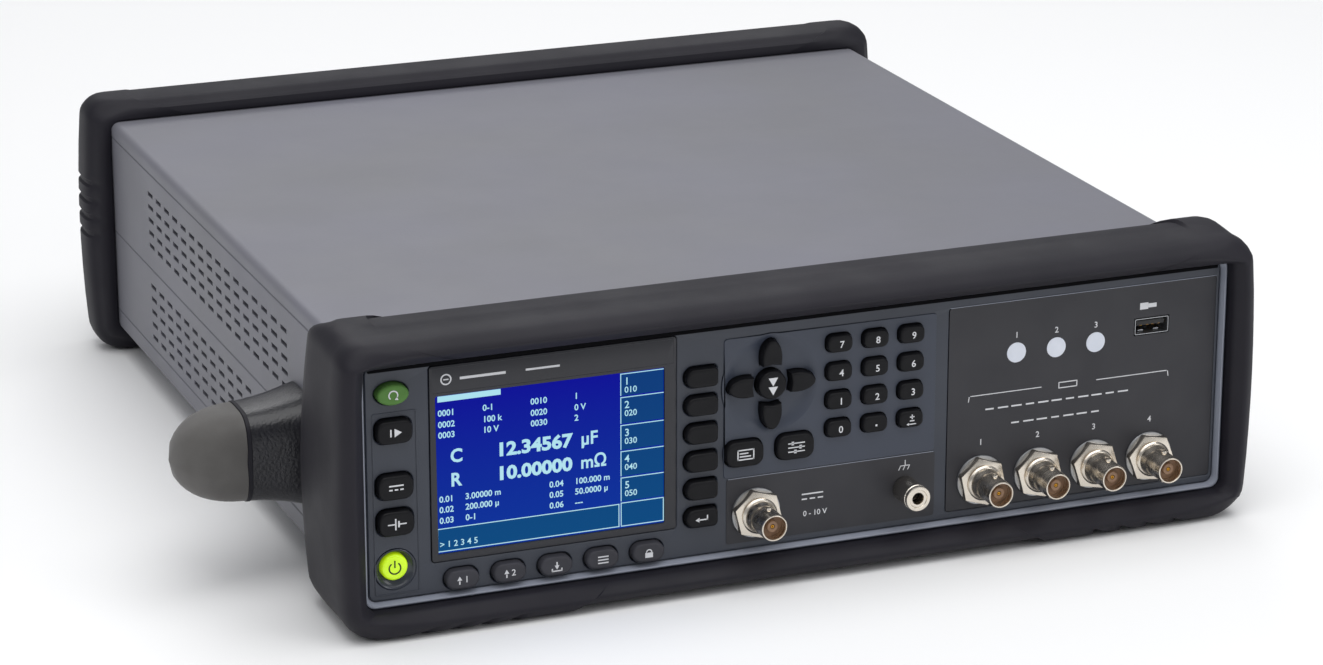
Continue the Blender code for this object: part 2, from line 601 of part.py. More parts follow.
def build_rear_panel():
    inset = CASE_WALL + 0.4 * MM
    inlet = rounded_box(*INLET_XZ, 28.6 * MM, 21.1 * MM, 1 * MM, 1)
    holes = [inlet] + fan_slots(*FAN_XZ)
    bm = bmesh.new()
    plate(bm, case_outline(inset, CASE_RADIUS - inset), holes, CASE_BACK - 2 * MM, CASE_BACK - 0.4 * MM)
    add_part("rear_panel", bm, "zinc_steel")


def build_power_inlet():
    cx, cz = INLET_XZ
    width, height = INLET_OPENING
    back = CASE_BACK + 1.6 * MM
    flange = rounded_box(cx, cz, width + 12 * MM, height + 8 * MM, 2 * MM, 1)
    body = rounded_box(cx, cz, width + 4 * MM, height + 4 * MM, 1 * MM, 1)
    mouth = rounded_box(cx, cz, width, height, 2 * MM, 1)
    floor = back - 16 * MM
    panel_back = CASE_BACK - 0.4 * MM
    bm = bmesh.new()
    rings = [ring(bm, body, back - 20 * MM), ring(bm, body, panel_back + GAP),
             ring(bm, flange, panel_back + GAP), ring(bm, flange, back), ring(bm, mouth, back),
             ring(bm, mouth, floor)]
    for first, second in zip(rings, rings[1:]):
        bridge(bm, first, second)
    fill(bm, rings[0])
    pins = []
    for dx, dz in ((-7, 2), (0, -2), (7, 2)):
        outline = rounded_box(cx + dx * MM, cz + dz * MM, 2 * MM, 4 * MM, 0.4 * MM, 1)
        foot, top = ring(bm, outline, floor), ring(bm, outline, floor + 12 * MM)
        bridge(bm, foot, top)
        fill(bm, top)
        pins.append(foot)
    fill(bm, rings[-1], *pins)
    add_part("power_inlet", bm, "module_plastic")


def sector(cx, cz, inner, outer, start, stop):
    return arc(cx, cz, outer, outer, start, stop, 4) + arc(cx, cz, inner, inner, stop, start, 3)


def build_fan():
    cx, cz = FAN_XZ
    back = CASE_BACK - 2 * MM - GAP
    front = back - FAN_DEPTH
    half = FAN_SIZE / 2
    corner = rounded_box(cx, cz, FAN_SIZE, FAN_SIZE, 3 * MM, 2)
    bore, hub, pivot, web = half - 1.6 * MM, 9 * MM, 1.9 * MM, 1.6 * MM
    windows = [sector(cx, cz, hub + 1.5 * MM, bore - 1.5 * MM, 90 * i + 8, 90 * i + 82) for i in range(4)]
    bm = bmesh.new()
    square_front, square_back = ring(bm, corner, front), ring(bm, corner, back)
    bridge(bm, square_front, square_back)
    wall_back = ring(bm, circle(cx, cz, bore, 24), back)
    wall_front = ring(bm, circle(cx, cz, bore, 24), front + web)
    bridge(bm, wall_back, wall_front)
    fill(bm, square_back, wall_back)
    outside = [ring(bm, w, front) for w in windows]
    inside = [ring(bm, w, front + web) for w in windows]
    for a, b in zip(outside, inside):
        bridge(bm, a, b)
    bearing = [ring(bm, circle(cx, cz, pivot, 12), front + web), ring(bm, circle(cx, cz, pivot, 12), front + 0.5 * MM)]
    bridge(bm, *bearing)
    fill(bm, bearing[1])
    fill(bm, wall_front, bearing[0], *inside)
    fill(bm, square_front, *outside)
    add_part("fan_frame", bm, "module_plastic")
    build_rotor(cx, cz, front + web + 0.5 * MM, back - 1 * MM, bore - 1.2 * MM)


def rotor_outline(cx, cz, hub, reach, turn):
    points = []
    blades = 7
    for i in range(blades):
        base = 360 / blades * i + turn
        points += arc(cx, cz, hub, hub, base, base + 30, 2)
        points += arc(cx, cz, reach, reach, base + 33, base + 44, 1)
    return points


def build_rotor(cx, cz, front, back, reach):
    bm = bmesh.new()
    levels = 4
    rings = []
    for i in range(levels):
        y = front + (back - front) * i / (levels - 1)
        rings.append(ring(bm, rotor_outline(cx, cz, 12 * MM, reach, 11 * i), y))
    for first, second in zip(rings, rings[1:]):
        bridge(bm, first, second)
    fill(bm, rings[-1])
    shaft = [ring(bm, circle(cx, cz, 1.5 * MM, 12), front), ring(bm, circle(cx, cz, 1.5 * MM, 12), front - 1.2 * MM)]
    bridge(bm, *shaft)
    fill(bm, shaft[1])
    fill(bm, rings[0], shaft[0])
    add_part("fan_rotor", bm, "module_plastic", (cx, (front + back) / 2, cz))


def main():
    clear_scene()
    keys = key_layout()
    for name, (outline, finish_name) in keys.items():
        build_key(name, outline, finish_name)
    build_bezel(keys)
    build_terminal_plate()
    build_display()
    build_key_backing()
    panel_back = PLATE_FRONT + PLATE_THICKNESS
    for i, name in enumerate(("low_current", "low_potential", "high_potential", "high_current")):
        build_coaxial_socket("socket_" + name, TERMINAL_U + i * TERMINAL_PITCH, TERMINAL_W,
                             PLATE_FRONT, panel_back, math.radians(8))
    build_coaxial_socket("socket_dc_source", *SOURCE_UW, FACE_Y, FACE_Y + BEZEL_THICKNESS, math.radians(8))
    build_ground_post()
    build_usb_socket()
    build_cover()
    build_front_bumper()
    build_rear_bumper()
    build_handle()
    build_boards(build_chassis())
    build_rear_panel()
    build_power_inlet()
    build_fan()


main()
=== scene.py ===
"""Looks of the bench LCR meter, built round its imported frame. Metres, +Z up, front facing -Y."""

import math

import bpy
import bmesh
from mathutils import Matrix, Vector


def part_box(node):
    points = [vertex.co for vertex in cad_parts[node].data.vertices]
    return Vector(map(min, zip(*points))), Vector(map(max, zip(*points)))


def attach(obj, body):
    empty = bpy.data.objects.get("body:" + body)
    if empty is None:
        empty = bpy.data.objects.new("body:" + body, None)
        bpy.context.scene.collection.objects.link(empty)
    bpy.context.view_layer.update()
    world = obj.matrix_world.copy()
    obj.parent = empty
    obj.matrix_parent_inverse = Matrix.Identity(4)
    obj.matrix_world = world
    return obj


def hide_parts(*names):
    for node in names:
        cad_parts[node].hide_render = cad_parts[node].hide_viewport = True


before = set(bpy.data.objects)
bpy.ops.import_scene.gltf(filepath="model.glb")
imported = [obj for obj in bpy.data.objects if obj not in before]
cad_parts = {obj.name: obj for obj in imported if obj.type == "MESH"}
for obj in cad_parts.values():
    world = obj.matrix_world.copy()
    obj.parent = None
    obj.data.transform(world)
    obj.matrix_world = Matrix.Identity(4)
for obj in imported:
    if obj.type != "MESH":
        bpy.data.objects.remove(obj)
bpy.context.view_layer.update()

MM = 0.001
ROOT = "instrument"

# ---- places, all worked out from the frame ----
bezel_low, bezel_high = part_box("front_bezel")
cover_low, cover_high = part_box("cover")
front_low, front_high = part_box("front_bumper")
rear_low, rear_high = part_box("rear_bumper")

FACE_Y = bezel_low[1] + 2 * MM                   # the face lies 2 mm inside its rim
FACE_LEFT = bezel_low[0] + 2.9 * MM              # zero of u, across the face
FACE_BOTTOM = bezel_low[2] + 1.4 * MM            # zero of w, up the face
MID_X = (cover_low[0] + cover_high[0]) / 2
MID_Z = (cover_low[2] + cover_high[2]) / 2
CASE_HALF = ((cover_high[0] - cover_low[0]) / 2, (cover_high[2] - cover_low[2]) / 2)
PLATE_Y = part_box("terminal_plate")[0][1]


def across(u):
    return FACE_LEFT + u * MM


def up(w):
    return FACE_BOTTOM + w * MM


# ---- materials ----
def linear(hex_colour):
    """sRGB hex to the linear colour that shaders use."""
    parts = [int(hex_colour[i:i + 2], 16) / 255 for i in (1, 3, 5)]
    return (*[p / 12.92 if p <= 0.04045 else ((p + 0.055) / 1.055) ** 2.4 for p in parts], 1.0)


def add(tree, kind, inputs=None, **settings):
    """One node with its settings, and a value or a link for each named input."""
    made = tree.nodes.new(kind)
    for key, value in settings.items():
        setattr(made, key, value)
    for socket, value in (inputs or {}).items():
        if isinstance(value, bpy.types.NodeSocket):
            tree.links.new(value, made.inputs[socket])
        else:
            made.inputs[socket].default_value = value
    return made


def surface(name, colour, roughness, metallic=0.0, ior=1.5, **extra):
    """A material with its Principled shader set to the plain values of the real finish."""
    made = bpy.data.materials.new(name)
    made.use_nodes = True
    shader = made.node_tree.nodes["Principled BSDF"]
    shader.inputs["Base Color"].default_value = linear(colour)
    shader.inputs["Roughness"].default_value = roughness
    shader.inputs["Metallic"].default_value = metallic
    if not metallic:
        shader.inputs["IOR"].default_value = ior
    for socket, value in extra.items():
        shader.inputs[socket.replace("_", " ")].default_value = value
    made.diffuse_color = linear(colour)
    return made, made.node_tree, shader


def emboss(tree, shader, pattern, height):
    """Bump the shading by `height` metres where the pattern is high."""
    bump = add(tree, "ShaderNodeBump", {"Height": pattern, "Distance": height, "Strength": 1.0})
    tree.links.new(bump.outputs["Normal"], shader.inputs["Normal"])


def grain(tree, shader, size, height, detail, stretch):
    """Moulded or sprayed texture: bumps `size` apart and `height` tall, in metres."""
    place = add(tree, "ShaderNodeTexCoord").outputs["Object"]
    place = add(tree, "ShaderNodeMapping", {"Vector": place, "Scale": stretch}).outputs["Vector"]
    noise = add(tree, "ShaderNodeTexNoise", {"Vector": place, "Scale": 1 / size, "Detail": detail})
    emboss(tree, shader, noise.outputs["Fac"], height)
    return place


def mottle(tree, shader, dark, light, size, place):
    """Slow drift of colour between two shades over patches `size` across."""
    patches = add(tree, "ShaderNodeTexNoise", {"Vector": place, "Scale": 1 / size, "Detail": 3.0})
    ramp = add(tree, "ShaderNodeValToRGB", {"Fac": patches.outputs["Fac"]})
    ramp.color_ramp.elements[0].position, ramp.color_ramp.elements[0].color = 0.3, linear(dark)
    ramp.color_ramp.elements[1].position, ramp.color_ramp.elements[1].color = 0.7, linear(light)
    tree.links.new(ramp.outputs["Color"], shader.inputs["Base Color"])


def wear(tree, shader, place, smooth, rough, size):
    """Roughness that drifts between two values, as handled surfaces do."""
    patches = add(tree, "ShaderNodeTexNoise", {"Vector": place, "Scale": 1 / size, "Detail": 4.0})
    spread = add(tree, "ShaderNodeMapRange", {"Value": patches.outputs["Fac"], "From Min": 0.35,
                                              "From Max": 0.65, "To Min": smooth, "To Max": rough})
    tree.links.new(spread.outputs["Result"], shader.inputs["Roughness"])


def finish(name, colour, roughness, shades, patch=12, size=0.8, height=0.01, detail=2.0, drift=None,
           stretch=(1, 1, 1), **extra):
    """A moulded, plated or printed finish, with sizes in millimetres. Its bumps are `size` apart and
    `height` tall, its colour wanders between two shades over patches `patch` across, and where it is
    handled its roughness drifts: (smooth, rough, patch)."""
    made, tree, shader = surface(name, colour, roughness, **extra)
    place = grain(tree, shader, size * MM, height * MM, detail, stretch)
    mottle(tree, shader, *shades, patch * MM, place)
    if drift:
        wear(tree, shader, place, drift[0], drift[1], drift[2] * MM)
    return made


def make_lit_button():
    made = finish("lit_polycarbonate", "#c6ee12", 0.32, ("#c0e80e", "#ccf41c"), 4, 0.7, ior=1.58)
    shader = made.node_tree.nodes["Principled BSDF"]
    shader.inputs["Emission Color"].default_value = linear("#c8f210")
    shader.inputs["Emission Strength"].default_value = 0.28
    return made


def make_knurled_nickel():
    """Nickel plate over a knurl, drawn as cells 0.8 mm apart, a little coarser than the real teeth."""
    made, tree, shader = surface("knurled_nickel", "#d3cdc3", 0.26, metallic=1.0)
    place = add(tree, "ShaderNodeTexCoord").outputs["Object"]
    teeth = add(tree, "ShaderNodeTexVoronoi", {"Vector": place, "Scale": 1 / (0.8 * MM), "Randomness": 0.15})
    emboss(tree, shader, teeth.outputs["Distance"], 0.07 * MM)
    return made


def make_glow(name, high, low, strength):
    """Lit liquid-crystal area under an anti-reflection film, drifting from one shade to another downwards."""
    made, tree, shader = surface(name, "#020208", 0.3, ior=1.38, Specular_IOR_Level=0.1)
    place = add(tree, "ShaderNodeTexCoord").outputs["Object"]
    height = add(tree, "ShaderNodeSeparateXYZ", {"Vector": place}).outputs["Z"]
    down = add(tree, "ShaderNodeMapRange", {"Value": height, "From Min": up(70), "From Max": up(16)})
    ramp = add(tree, "ShaderNodeValToRGB", {"Fac": down.outputs["Result"]})
    ramp.color_ramp.elements[0].color, ramp.color_ramp.elements[1].color = linear(high), linear(low)
    tree.links.new(ramp.outputs["Color"], shader.inputs["Emission Color"])
    shader.inputs["Emission Strength"].default_value = strength
    cells = add(tree, "ShaderNodeTexNoise", {"Vector": place, "Scale": 1 / (0.4 * MM), "Detail": 0.0})
    emboss(tree, shader, cells.outputs["Fac"], 0.002 * MM)
    return made


# Powder-coated sheet steel: satin, with a fine orange peel, drawn 1.1 mm apart so that it shows.
POWDER = finish("powder_coated_steel", "#72727b", 0.52, ("#717177", "#73737d"), 90, 1.1, 0.05, 3.0,
                (0.49, 0.54, 30))
# Moulded thermoplastic rubber: near-black, dull, softly grained.
RUBBER = finish("moulded_rubber", "#1d1c23", 0.6, ("#1c1b22", "#1f1d25"), 60, 0.9, 0.035,
                drift=(0.55, 0.63, 22), ior=1.48, Specular_IOR_Level=0.3)
# Flat black with almost no gloss: painted shadow, the shade under the front bumper's brow along the top of
# the face.
PAINTED_SHADOW_BLACK = finish("painted_shadow_black", "#08080b", 0.8, ("#0a0a0d", "#08080b"), 12, 0.5, ior=1.4,
                Specular_IOR_Level=0.1)
# Spark-textured ABS in slate blue: even satin sheen. The keypad's panel is a smoother moulding of it.
SLATE = finish("spark_textured_abs", "#2e333e", 0.45, ("#2b303b", "#323742"), 45, 0.7, 0.02,
               drift=(0.38, 0.48, 18), ior=1.53)
PANEL = finish("satin_slate_abs", "#383e4c", 0.42, ("#343a47", "#383e4c"), 30)
# Polished ABS: the power button's dish.
DISH = finish("polished_abs", "#343842", 0.2, ("#2f333c", "#343842"), 6)
# Satin paint in pale grey, on the bead round the face: partly the bead's own paint, partly painted highlight
# where its rim catches the light. Also the painted highlights along the plates' top edges.
BEAD_PAINT_AND_HIGHLIGHT = finish("bead_paint_and_painted_highlight", "#9297a4", 0.4, ("#8b909d", "#9297a4"), 30)
# Moulded silicone key caps: satin, a little polished where fingers rest.
KEY_BLACK, KEY_GREY, KEY_GREEN = [
    finish(name, colour, rough, (shade, colour), 9, 0.6, 0.012, drift=(rough - 0.06, rough + 0.05, 6),
           ior=1.42, Specular_IOR_Level=0.25)
    for name, colour, shade, rough in (("black_key_silicone", "#131316", "#0f0f12", 0.44),
                                       ("grey_key_silicone", "#3f3f45", "#39393e", 0.42),
                                       ("green_key_silicone", "#56803f", "#4e7638", 0.36))]
# Translucent lime polycarbonate, lit from behind.
LIME = make_lit_button()
# Screen-printed polycarbonate overlay, velvet finish: soft black. The window's film is glossier.
OVERLAY = finish("velvet_overlay", "#1d1d24", 0.52, ("#1b1b22", "#202027"), 40, 0.5,
                 drift=(0.44, 0.54, 15), ior=1.55)
WINDOW_FILM = finish("printed_window_film", "#22232a", 0.34, ("#1f2026", "#22232a"), 25)
# Nickel-plated brass, turned: warm bright metal with faint tool rings.
NICKEL = finish("nickel_plate", "#ddd5c8", 0.24, ("#d9d0c3", "#e2dacd"), 5, 0.5, 0.004, 3.0,
                (0.21, 0.29, 3), (0.3, 3, 0.3), metallic=1.0)
# The same plate over a knurl.
KNURL = make_knurled_nickel()
# Zinc-plated sheet steel: cool, brushed a little along its length.
ZINC = finish("zinc_plated_steel", "#b5b7ba", 0.36, ("#a9abaf", "#c0c2c5"), 14, 1.5, 0.01, 4.0,
              (0.3, 0.42, 10), (0.15, 2, 2), metallic=1.0)
# Glass-filled nylon with a coarse leather grain: almost black, glinting on its grain.
NECK = finish("grained_nylon", "#1b1b20", 0.3, ("#17171c", "#212127"), 8, 1.0, 0.16, 3.0, ior=1.53)
# Soft overmould in warm grey: matt, faintly dusty.
GRIP = finish("soft_overmould", "#5a5856", 0.7, ("#555351", "#5f5d5b"), 12, 0.8, 0.03,
              drift=(0.6, 0.75, 9), ior=1.45, Sheen_Weight=0.15)
# Black polyamide, moulded: plain and half-dull.
DARK_PLASTIC = finish("black_polyamide", "#1d1d1f", 0.45, ("#161618", "#1d1d1f"))
# Screen-printing inks: matt white on the dark surfaces, olive black on the lit button.
INK = finish("white_print_ink", "#d8d9dc", 0.5, ("#cfd0d4", "#d8d9dc"), 6)
DARK_INK = finish("dark_print_ink", "#1c2206", 0.5, ("#151a04", "#1c2206"), 6)
# Diffusing acrylic, unlit: cloudy white.
LED_LENS = finish("diffusing_lens", "#e6e9f2", 0.4, ("#dfe3ed", "#e6e9f2"), 5, Subsurface_Weight=0.1)
# PTFE insulators, browned with age.
PTFE = finish("aged_ptfe", "#94745a", 0.5, ("#866850", "#94745a"), 3)
# Gold plate: bright yellow contacts.
GOLD = finish("gold_plate", "#d9a441", 0.22, ("#c8923a", "#d9a441"), 2, metallic=1.0)
# Solder mask over glass-epoxy board: green, half-gloss.
BOARD = finish("green_solder_mask", "#1f6a3a", 0.35, ("#195a31", "#1f6a3a"), 20)
# Moulded silicone keypad mat: mid grey, dull.
SILICONE = finish("moulded_silicone", "#8d8d90", 0.55, ("#858588", "#8d8d90"), 15)
# Polyester label film, left blank.
LABEL = finish("blank_label_film", "#c7c8ca", 0.4, ("#bfc0c2", "#c7c8ca"), 12)
# Liquid-crystal cells lit from behind, in the three shades that they show.
LCD_BLUE = make_glow("lit_lcd_blue", "#0004a4", "#0038a8", 0.8)
LCD_TEAL = make_glow("lit_lcd_teal", "#003f86", "#00508c", 0.8)
LCD_WHITE = make_glow("lit_lcd_white", "#b8f0ff", "#c4f4ff", 0.85)


# ---- mesh helpers ----
SHARP = math.radians(32)                       # edges folded by more than this stay crisp
WELD = 0.0005 * MM                             # points closer than this are one point


def piece(name, bm, material, body=ROOT, stands_for=()):
    """Finish a bmesh in world coordinates as one named piece that rides on a body."""
    bmesh.ops.remove_doubles(bm, verts=bm.verts, dist=WELD)
    bmesh.ops.recalc_face_normals(bm, faces=bm.faces)
    for face in bm.faces:
        face.smooth = True
    for edge in bm.edges:
        edge.smooth = len(edge.link_faces) == 2 and edge.calc_face_angle(0.0) < SHARP
    mesh = bpy.data.meshes.new(name)
    bm.to_mesh(mesh)
    bm.free()
    mesh.materials.append(material)
    made = bpy.data.objects.new(name, mesh)
    bpy.context.scene.collection.objects.link(made)
    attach(made, body)
    if stands_for:
        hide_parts(*stands_for)


def merge(target, source):
    """Move everything in one bmesh into another."""
    mesh = bpy.data.meshes.new("passing")
    source.to_mesh(mesh)
    source.free()
    target.from_mesh(mesh)
    bpy.data.meshes.remove(mesh)


def joined(shapes):
    """All the shapes as one bmesh."""
    bm = bmesh.new()
    for shape in shapes:
        merge(bm, shape)
    return bm


def move(bm, x, y, z):
    bmesh.ops.translate(bm, verts=bm.verts, vec=(x, y, z))


def rotate(bm, degrees, axis):
    bmesh.ops.rotate(bm, verts=bm.verts, matrix=Matrix.Rotation(math.radians(degrees), 3, axis))


def round_off(bm, geom, offset, segments, affect="EDGES"):
    bmesh.ops.bevel(bm, geom=geom, offset=offset, segments=segments, profile=0.5, affect=affect, material=-1)


def tablet(cx, cz, width, height, corner, y_front, y_back, edge=0.0, corner_steps=5, edge_steps=3):
    """Rounded slab facing -Y: a rectangle with its corners bevelled, extruded, its front edge rounded."""
    bm = bmesh.new()
    bmesh.ops.create_grid(bm, x_segments=1, y_segments=1, size=0.5)
    bmesh.ops.scale(bm, verts=bm.verts, vec=(width, height, 1))
    if corner > 0:
        round_off(bm, bm.verts[:], min(corner, min(width, height) / 2 - 1e-6), corner_steps, "VERTICES")
    raise_flat(bm, y_front, y_back, edge, edge_steps)
    move(bm, cx, 0, cz)
    return bm


def raise_flat(bm, y_front, y_back, edge=0.0, edge_steps=3):
    """Stand a flat XY face up to face -Y, give it depth, and round its front edge."""
    rotate(bm, 90, "X")
    move(bm, 0, y_back, 0)
    grown = bmesh.ops.extrude_face_region(bm, geom=bm.faces[:], use_keep_orig=True)
    moved = [g for g in grown["geom"] if isinstance(g, bmesh.types.BMVert)]
    bmesh.ops.translate(bm, verts=moved, vec=(0, y_front - y_back, 0))
    if edge > 0:
        rim = [e for e in bm.edges if all(abs(v.co.y - y_front) < 1e-6 for v in e.verts)]
        round_off(bm, rim, edge, edge_steps)


def prism(sides, radius, turn, y_front, y_back, edge=0.0, edge_steps=3):
    """Round or many-sided slab about the Y axis, facing -Y."""
    bm = bmesh.new()
    bmesh.ops.create_circle(bm, cap_ends=True, segments=sides, radius=radius)
    rotate(bm, turn, "Z")
    raise_flat(bm, y_front, y_back, edge, edge_steps)
    return bm


def along(base, *rows):
    """Profile for a turned piece, from rows of (radius, distance behind `base`) in millimetres."""
    return [(radius * MM, base + behind * MM) for radius, behind in rows]


def turned(cx, cz, profile, steps=48):
    """Turned piece: a profile spun about an axis along Y."""
    bm = bmesh.new()
    verts = [bm.verts.new((radius, y, 0)) for radius, y in profile]
    edges = [bm.edges.new(pair) for pair in zip(verts, verts[1:])]
    bmesh.ops.spin(bm, geom=verts + edges, cent=(0, 0, 0), axis=(0, 1, 0), angle=2 * math.pi,
                   steps=steps, use_merge=True)
    bmesh.ops.remove_doubles(bm, verts=bm.verts, dist=WELD)
    move(bm, cx, 0, cz)
    return bm


def arc(cx, cz, rx, rz, start, stop, steps):
    angles = [math.radians(start + (stop - start) * i / steps) for i in range(steps + 1)]
    return [(cx + rx * math.cos(a), cz + rz * math.sin(a)) for a in angles]


def round_outline(cx, cz, radius, steps=32):
    return arc(cx, cz, radius, radius, 0, 360, steps)[:-1]


def box_outline(cx, cz, width, height, left, steps=4, right=None):
    """Rounded rectangle. Its right-hand corners may have a radius of their own."""
    right = left if right is None else right
    points = []
    for sx, sz, start, r in ((1, -1, 270, right), (1, 1, 0, right), (-1, 1, 90, left), (-1, -1, 180, left)):
        points += arc(cx + sx * (width / 2 - r), cz + sz * (height / 2 - r), r, r, start, start + 90, steps)
    return points


def face_outline(left, right, bottom, top, radius, steps=4):
    """Rounded rectangle on the face, in millimetres of u and w."""
    return box_outline(across((left + right) / 2), up((bottom + top) / 2), (right - left) * MM,
                       (top - bottom) * MM, radius * MM, steps)


def scaled_outline(points, extra):
    """The same outline, wider and taller by `extra` on every side."""
    xs, zs = [p[0] for p in points], [p[1] for p in points]
    cx, cz = (min(xs) + max(xs)) / 2, (min(zs) + max(zs)) / 2
    kx = 1 + 2 * extra / (max(xs) - min(xs))
    kz = 1 + 2 * extra / (max(zs) - min(zs))
    return [(cx + (x - cx) * kx, cz + (z - cz) * kz) for x, z in points]


def loop(bm, points, y):
    """A closed loop of edges in the XZ plane at y."""
    verts = [bm.verts.new((x, y, z)) for x, z in points]
    return verts, [bm.edges.new((verts[i - 1], verts[i])) for i in range(len(verts))]


def skin(bm, rings, closed=False):
    """Bridge each ring to the next. The rings hold the same number of points, in step."""
    pairs = list(zip(rings, rings[1:])) + ([(rings[-1], rings[0])] if closed else [])
    for (first, _), (second, _) in pairs:
        for i in range(len(first)):
            bm.faces.new((first[i - 1], first[i], second[i], second[i - 1]))


def cap(bm, *rings):
    """Fill the flat area between an outer ring and the rings of its holes."""
    edges = [edge for _, ring_edges in rings for edge in ring_edges]
    bmesh.ops.triangle_fill(bm, use_beauty=True, use_dissolve=False, edges=edges)


def plate(outlines, y_front, y_back, edge=0.0, base=None):
    """A flat plate: the first outline with the others as holes, and its front edges rounded. `base` is
    its outlines at the back, where they differ."""
    bm = bmesh.new()
    fronts = [loop(bm, outline, y_front) for outline in outlines]
    cap(bm, *fronts)
    backs = [loop(bm, outline, y_back) for outline in base or outlines]
    cap(bm, *backs)
    for front, back in zip(fronts, backs):
        skin(bm, [front, back])
    if edge > 0:
        round_off(bm, [e for _, edges in fronts for e in edges if e.is_valid], edge, 2)
    return bm


# ---- printed marks ----
PRINT = 0.03 * MM                              # thickness of the ink
CAPITAL = 0.73                                 # height of a capital in the built-in face, of its size


def lettering(y, cx, cz, height, text, align="CENTER", squeeze=1.0, weight=0.012):
    """Plain numerals or a symbol as a thin raised print, `height` mm tall, facing -Y."""
    curve = bpy.data.curves.new("numeral", "FONT")
    curve.body = text
    curve.size = height * MM / CAPITAL
    curve.align_x = align
    curve.align_y = "CENTER"
    curve.resolution_u = 3
    curve.offset = weight * curve.size
    source = bpy.data.objects.new("numeral", curve)
    bpy.context.scene.collection.objects.link(source)
    bpy.context.view_layer.update()
    mesh = bpy.data.meshes.new_from_object(source)
    bpy.data.objects.remove(source, do_unlink=True)
    bpy.data.curves.remove(curve)
    bm = bmesh.new()
    bm.from_mesh(mesh)
    bpy.data.meshes.remove(mesh)
    bmesh.ops.scale(bm, verts=bm.verts, vec=(squeeze, 1, 1))
    rotate(bm, 90, "X")
    move(bm, cx, y - PRINT, cz)
    return bm


def bar(y, cx, cz, width, height, turn=0.0):
    bm = tablet(0, 0, width * MM, height * MM, 0, -PRINT, 0)
    rotate(bm, turn, "Y")
    move(bm, cx, y, cz)
    return bm


def arrow(y, cx, cz, radius, heading):
    """Solid arrowhead pointing to `heading` degrees, anticlockwise from +X."""
    bm = prism(3, radius * MM, heading - 90, -PRINT, 0)
    move(bm, cx, y, cz)
    return bm


def hoop(y, cx, cz, radius, width, start=0, stop=360, steps=28):
    """Printed ring, or part of one."""
    bm = bmesh.new()
    inner, outer = [
        [bm.verts.new((x, y - PRINT, z)) for x, z in arc(cx, cz, r * MM, r * MM, start, stop, steps)]
        for r in (radius - width / 2, radius + width / 2)]
    for i in range(steps):
        bm.faces.new((outer[i], outer[i + 1], inner[i + 1], inner[i]))
    return bm


def printed(name, y, x, z, rows, material=INK, body=ROOT):
    """One printed piece made of marks. Each row names a kind of mark, its place in mm from (x, z), and
    what else that kind takes."""
    bm = joined([kind(y, x + dx * MM, z + dz * MM, *rest) for kind, dx, dz, *rest in rows])
    piece(name, bm, material, body)


# ---- case ----
VENT_COLUMNS, VENT_PITCH, VENT_LENGTH = 16, 11.7 * MM, 7.2 * MM
VENT_ROWS, VENT_ROW_PITCH, VENT_HEIGHT = 5, 5.15 * MM, 1.7 * MM
VENT_FIRST_Y = FACE_Y + 82.3 * MM
VENT_GROUPS = (up(49.4), up(12.4))             # lowest row of each group
CREASES = (up(78.3), up(39.8), up(7.6))        # shallow pressed lines along the sides
CREASE_HALF, CREASE_DEPTH = 0.45 * MM, 0.35 * MM
FOLD_RADIUS, SHEET = 3.0 * MM, 1.2 * MM


def on_side(point):
    return abs(abs(point.x - MID_X) - CASE_HALF[0]) < 1e-5


def build_cover():
    """One folded sleeve: a rounded tube cut through its side vents, then given its wall."""
    bm = bmesh.new()
    outline = box_outline(MID_X, MID_Z, 2 * CASE_HALF[0], 2 * CASE_HALF[1], FOLD_RADIUS, 6)
    skin(bm, [loop(bm, outline, cover_low[1]), loop(bm, outline, cover_high[1])])
    starts = [VENT_FIRST_Y + column * VENT_PITCH for column in range(VENT_COLUMNS)]
    slots = [(y, y + VENT_LENGTH) for y in starts]
    middles = [group + row * VENT_ROW_PITCH for group in VENT_GROUPS for row in range(VENT_ROWS)]
    rows = [(z - VENT_HEIGHT / 2, z + VENT_HEIGHT / 2) for z in middles]
    levels = [z for pair in rows for z in pair]
    levels += [z + dz for z in CREASES for dz in (-CREASE_HALF, 0, CREASE_HALF)]
    for z in levels:
        everything = bm.verts[:] + bm.edges[:] + bm.faces[:]
        bmesh.ops.bisect_plane(bm, geom=everything, plane_co=(0, 0, z), plane_no=(0, 0, 1))
    for y in [y for pair in slots for y in pair]:
        walls = [f for f in bm.faces if on_side(f.calc_center_median())]
        geom = walls + list({e for f in walls for e in f.edges}) + list({v for f in walls for v in f.verts})
        bmesh.ops.bisect_plane(bm, geom=geom, plane_co=(0, y, 0), plane_no=(0, 1, 0))
    doomed = []
    for face in bm.faces:
        middle = face.calc_center_median()
        in_slot = any(a < middle.y < b for a, b in slots) and any(a < middle.z < b for a, b in rows)
        if on_side(middle) and in_slot:
            doomed.append(face)
    bmesh.ops.delete(bm, geom=doomed, context="FACES")
    for vert in bm.verts:
        if on_side(vert.co) and any(abs(vert.co.z - z) < 1e-6 for z in CREASES):
            vert.co.x -= math.copysign(CREASE_DEPTH, vert.co.x - MID_X)
    bmesh.ops.recalc_face_normals(bm, faces=bm.faces)
    bmesh.ops.solidify(bm, geom=bm.faces[:], thickness=SHEET)
    piece("cover_sleeve", bm, POWDER, stands_for=("cover",))


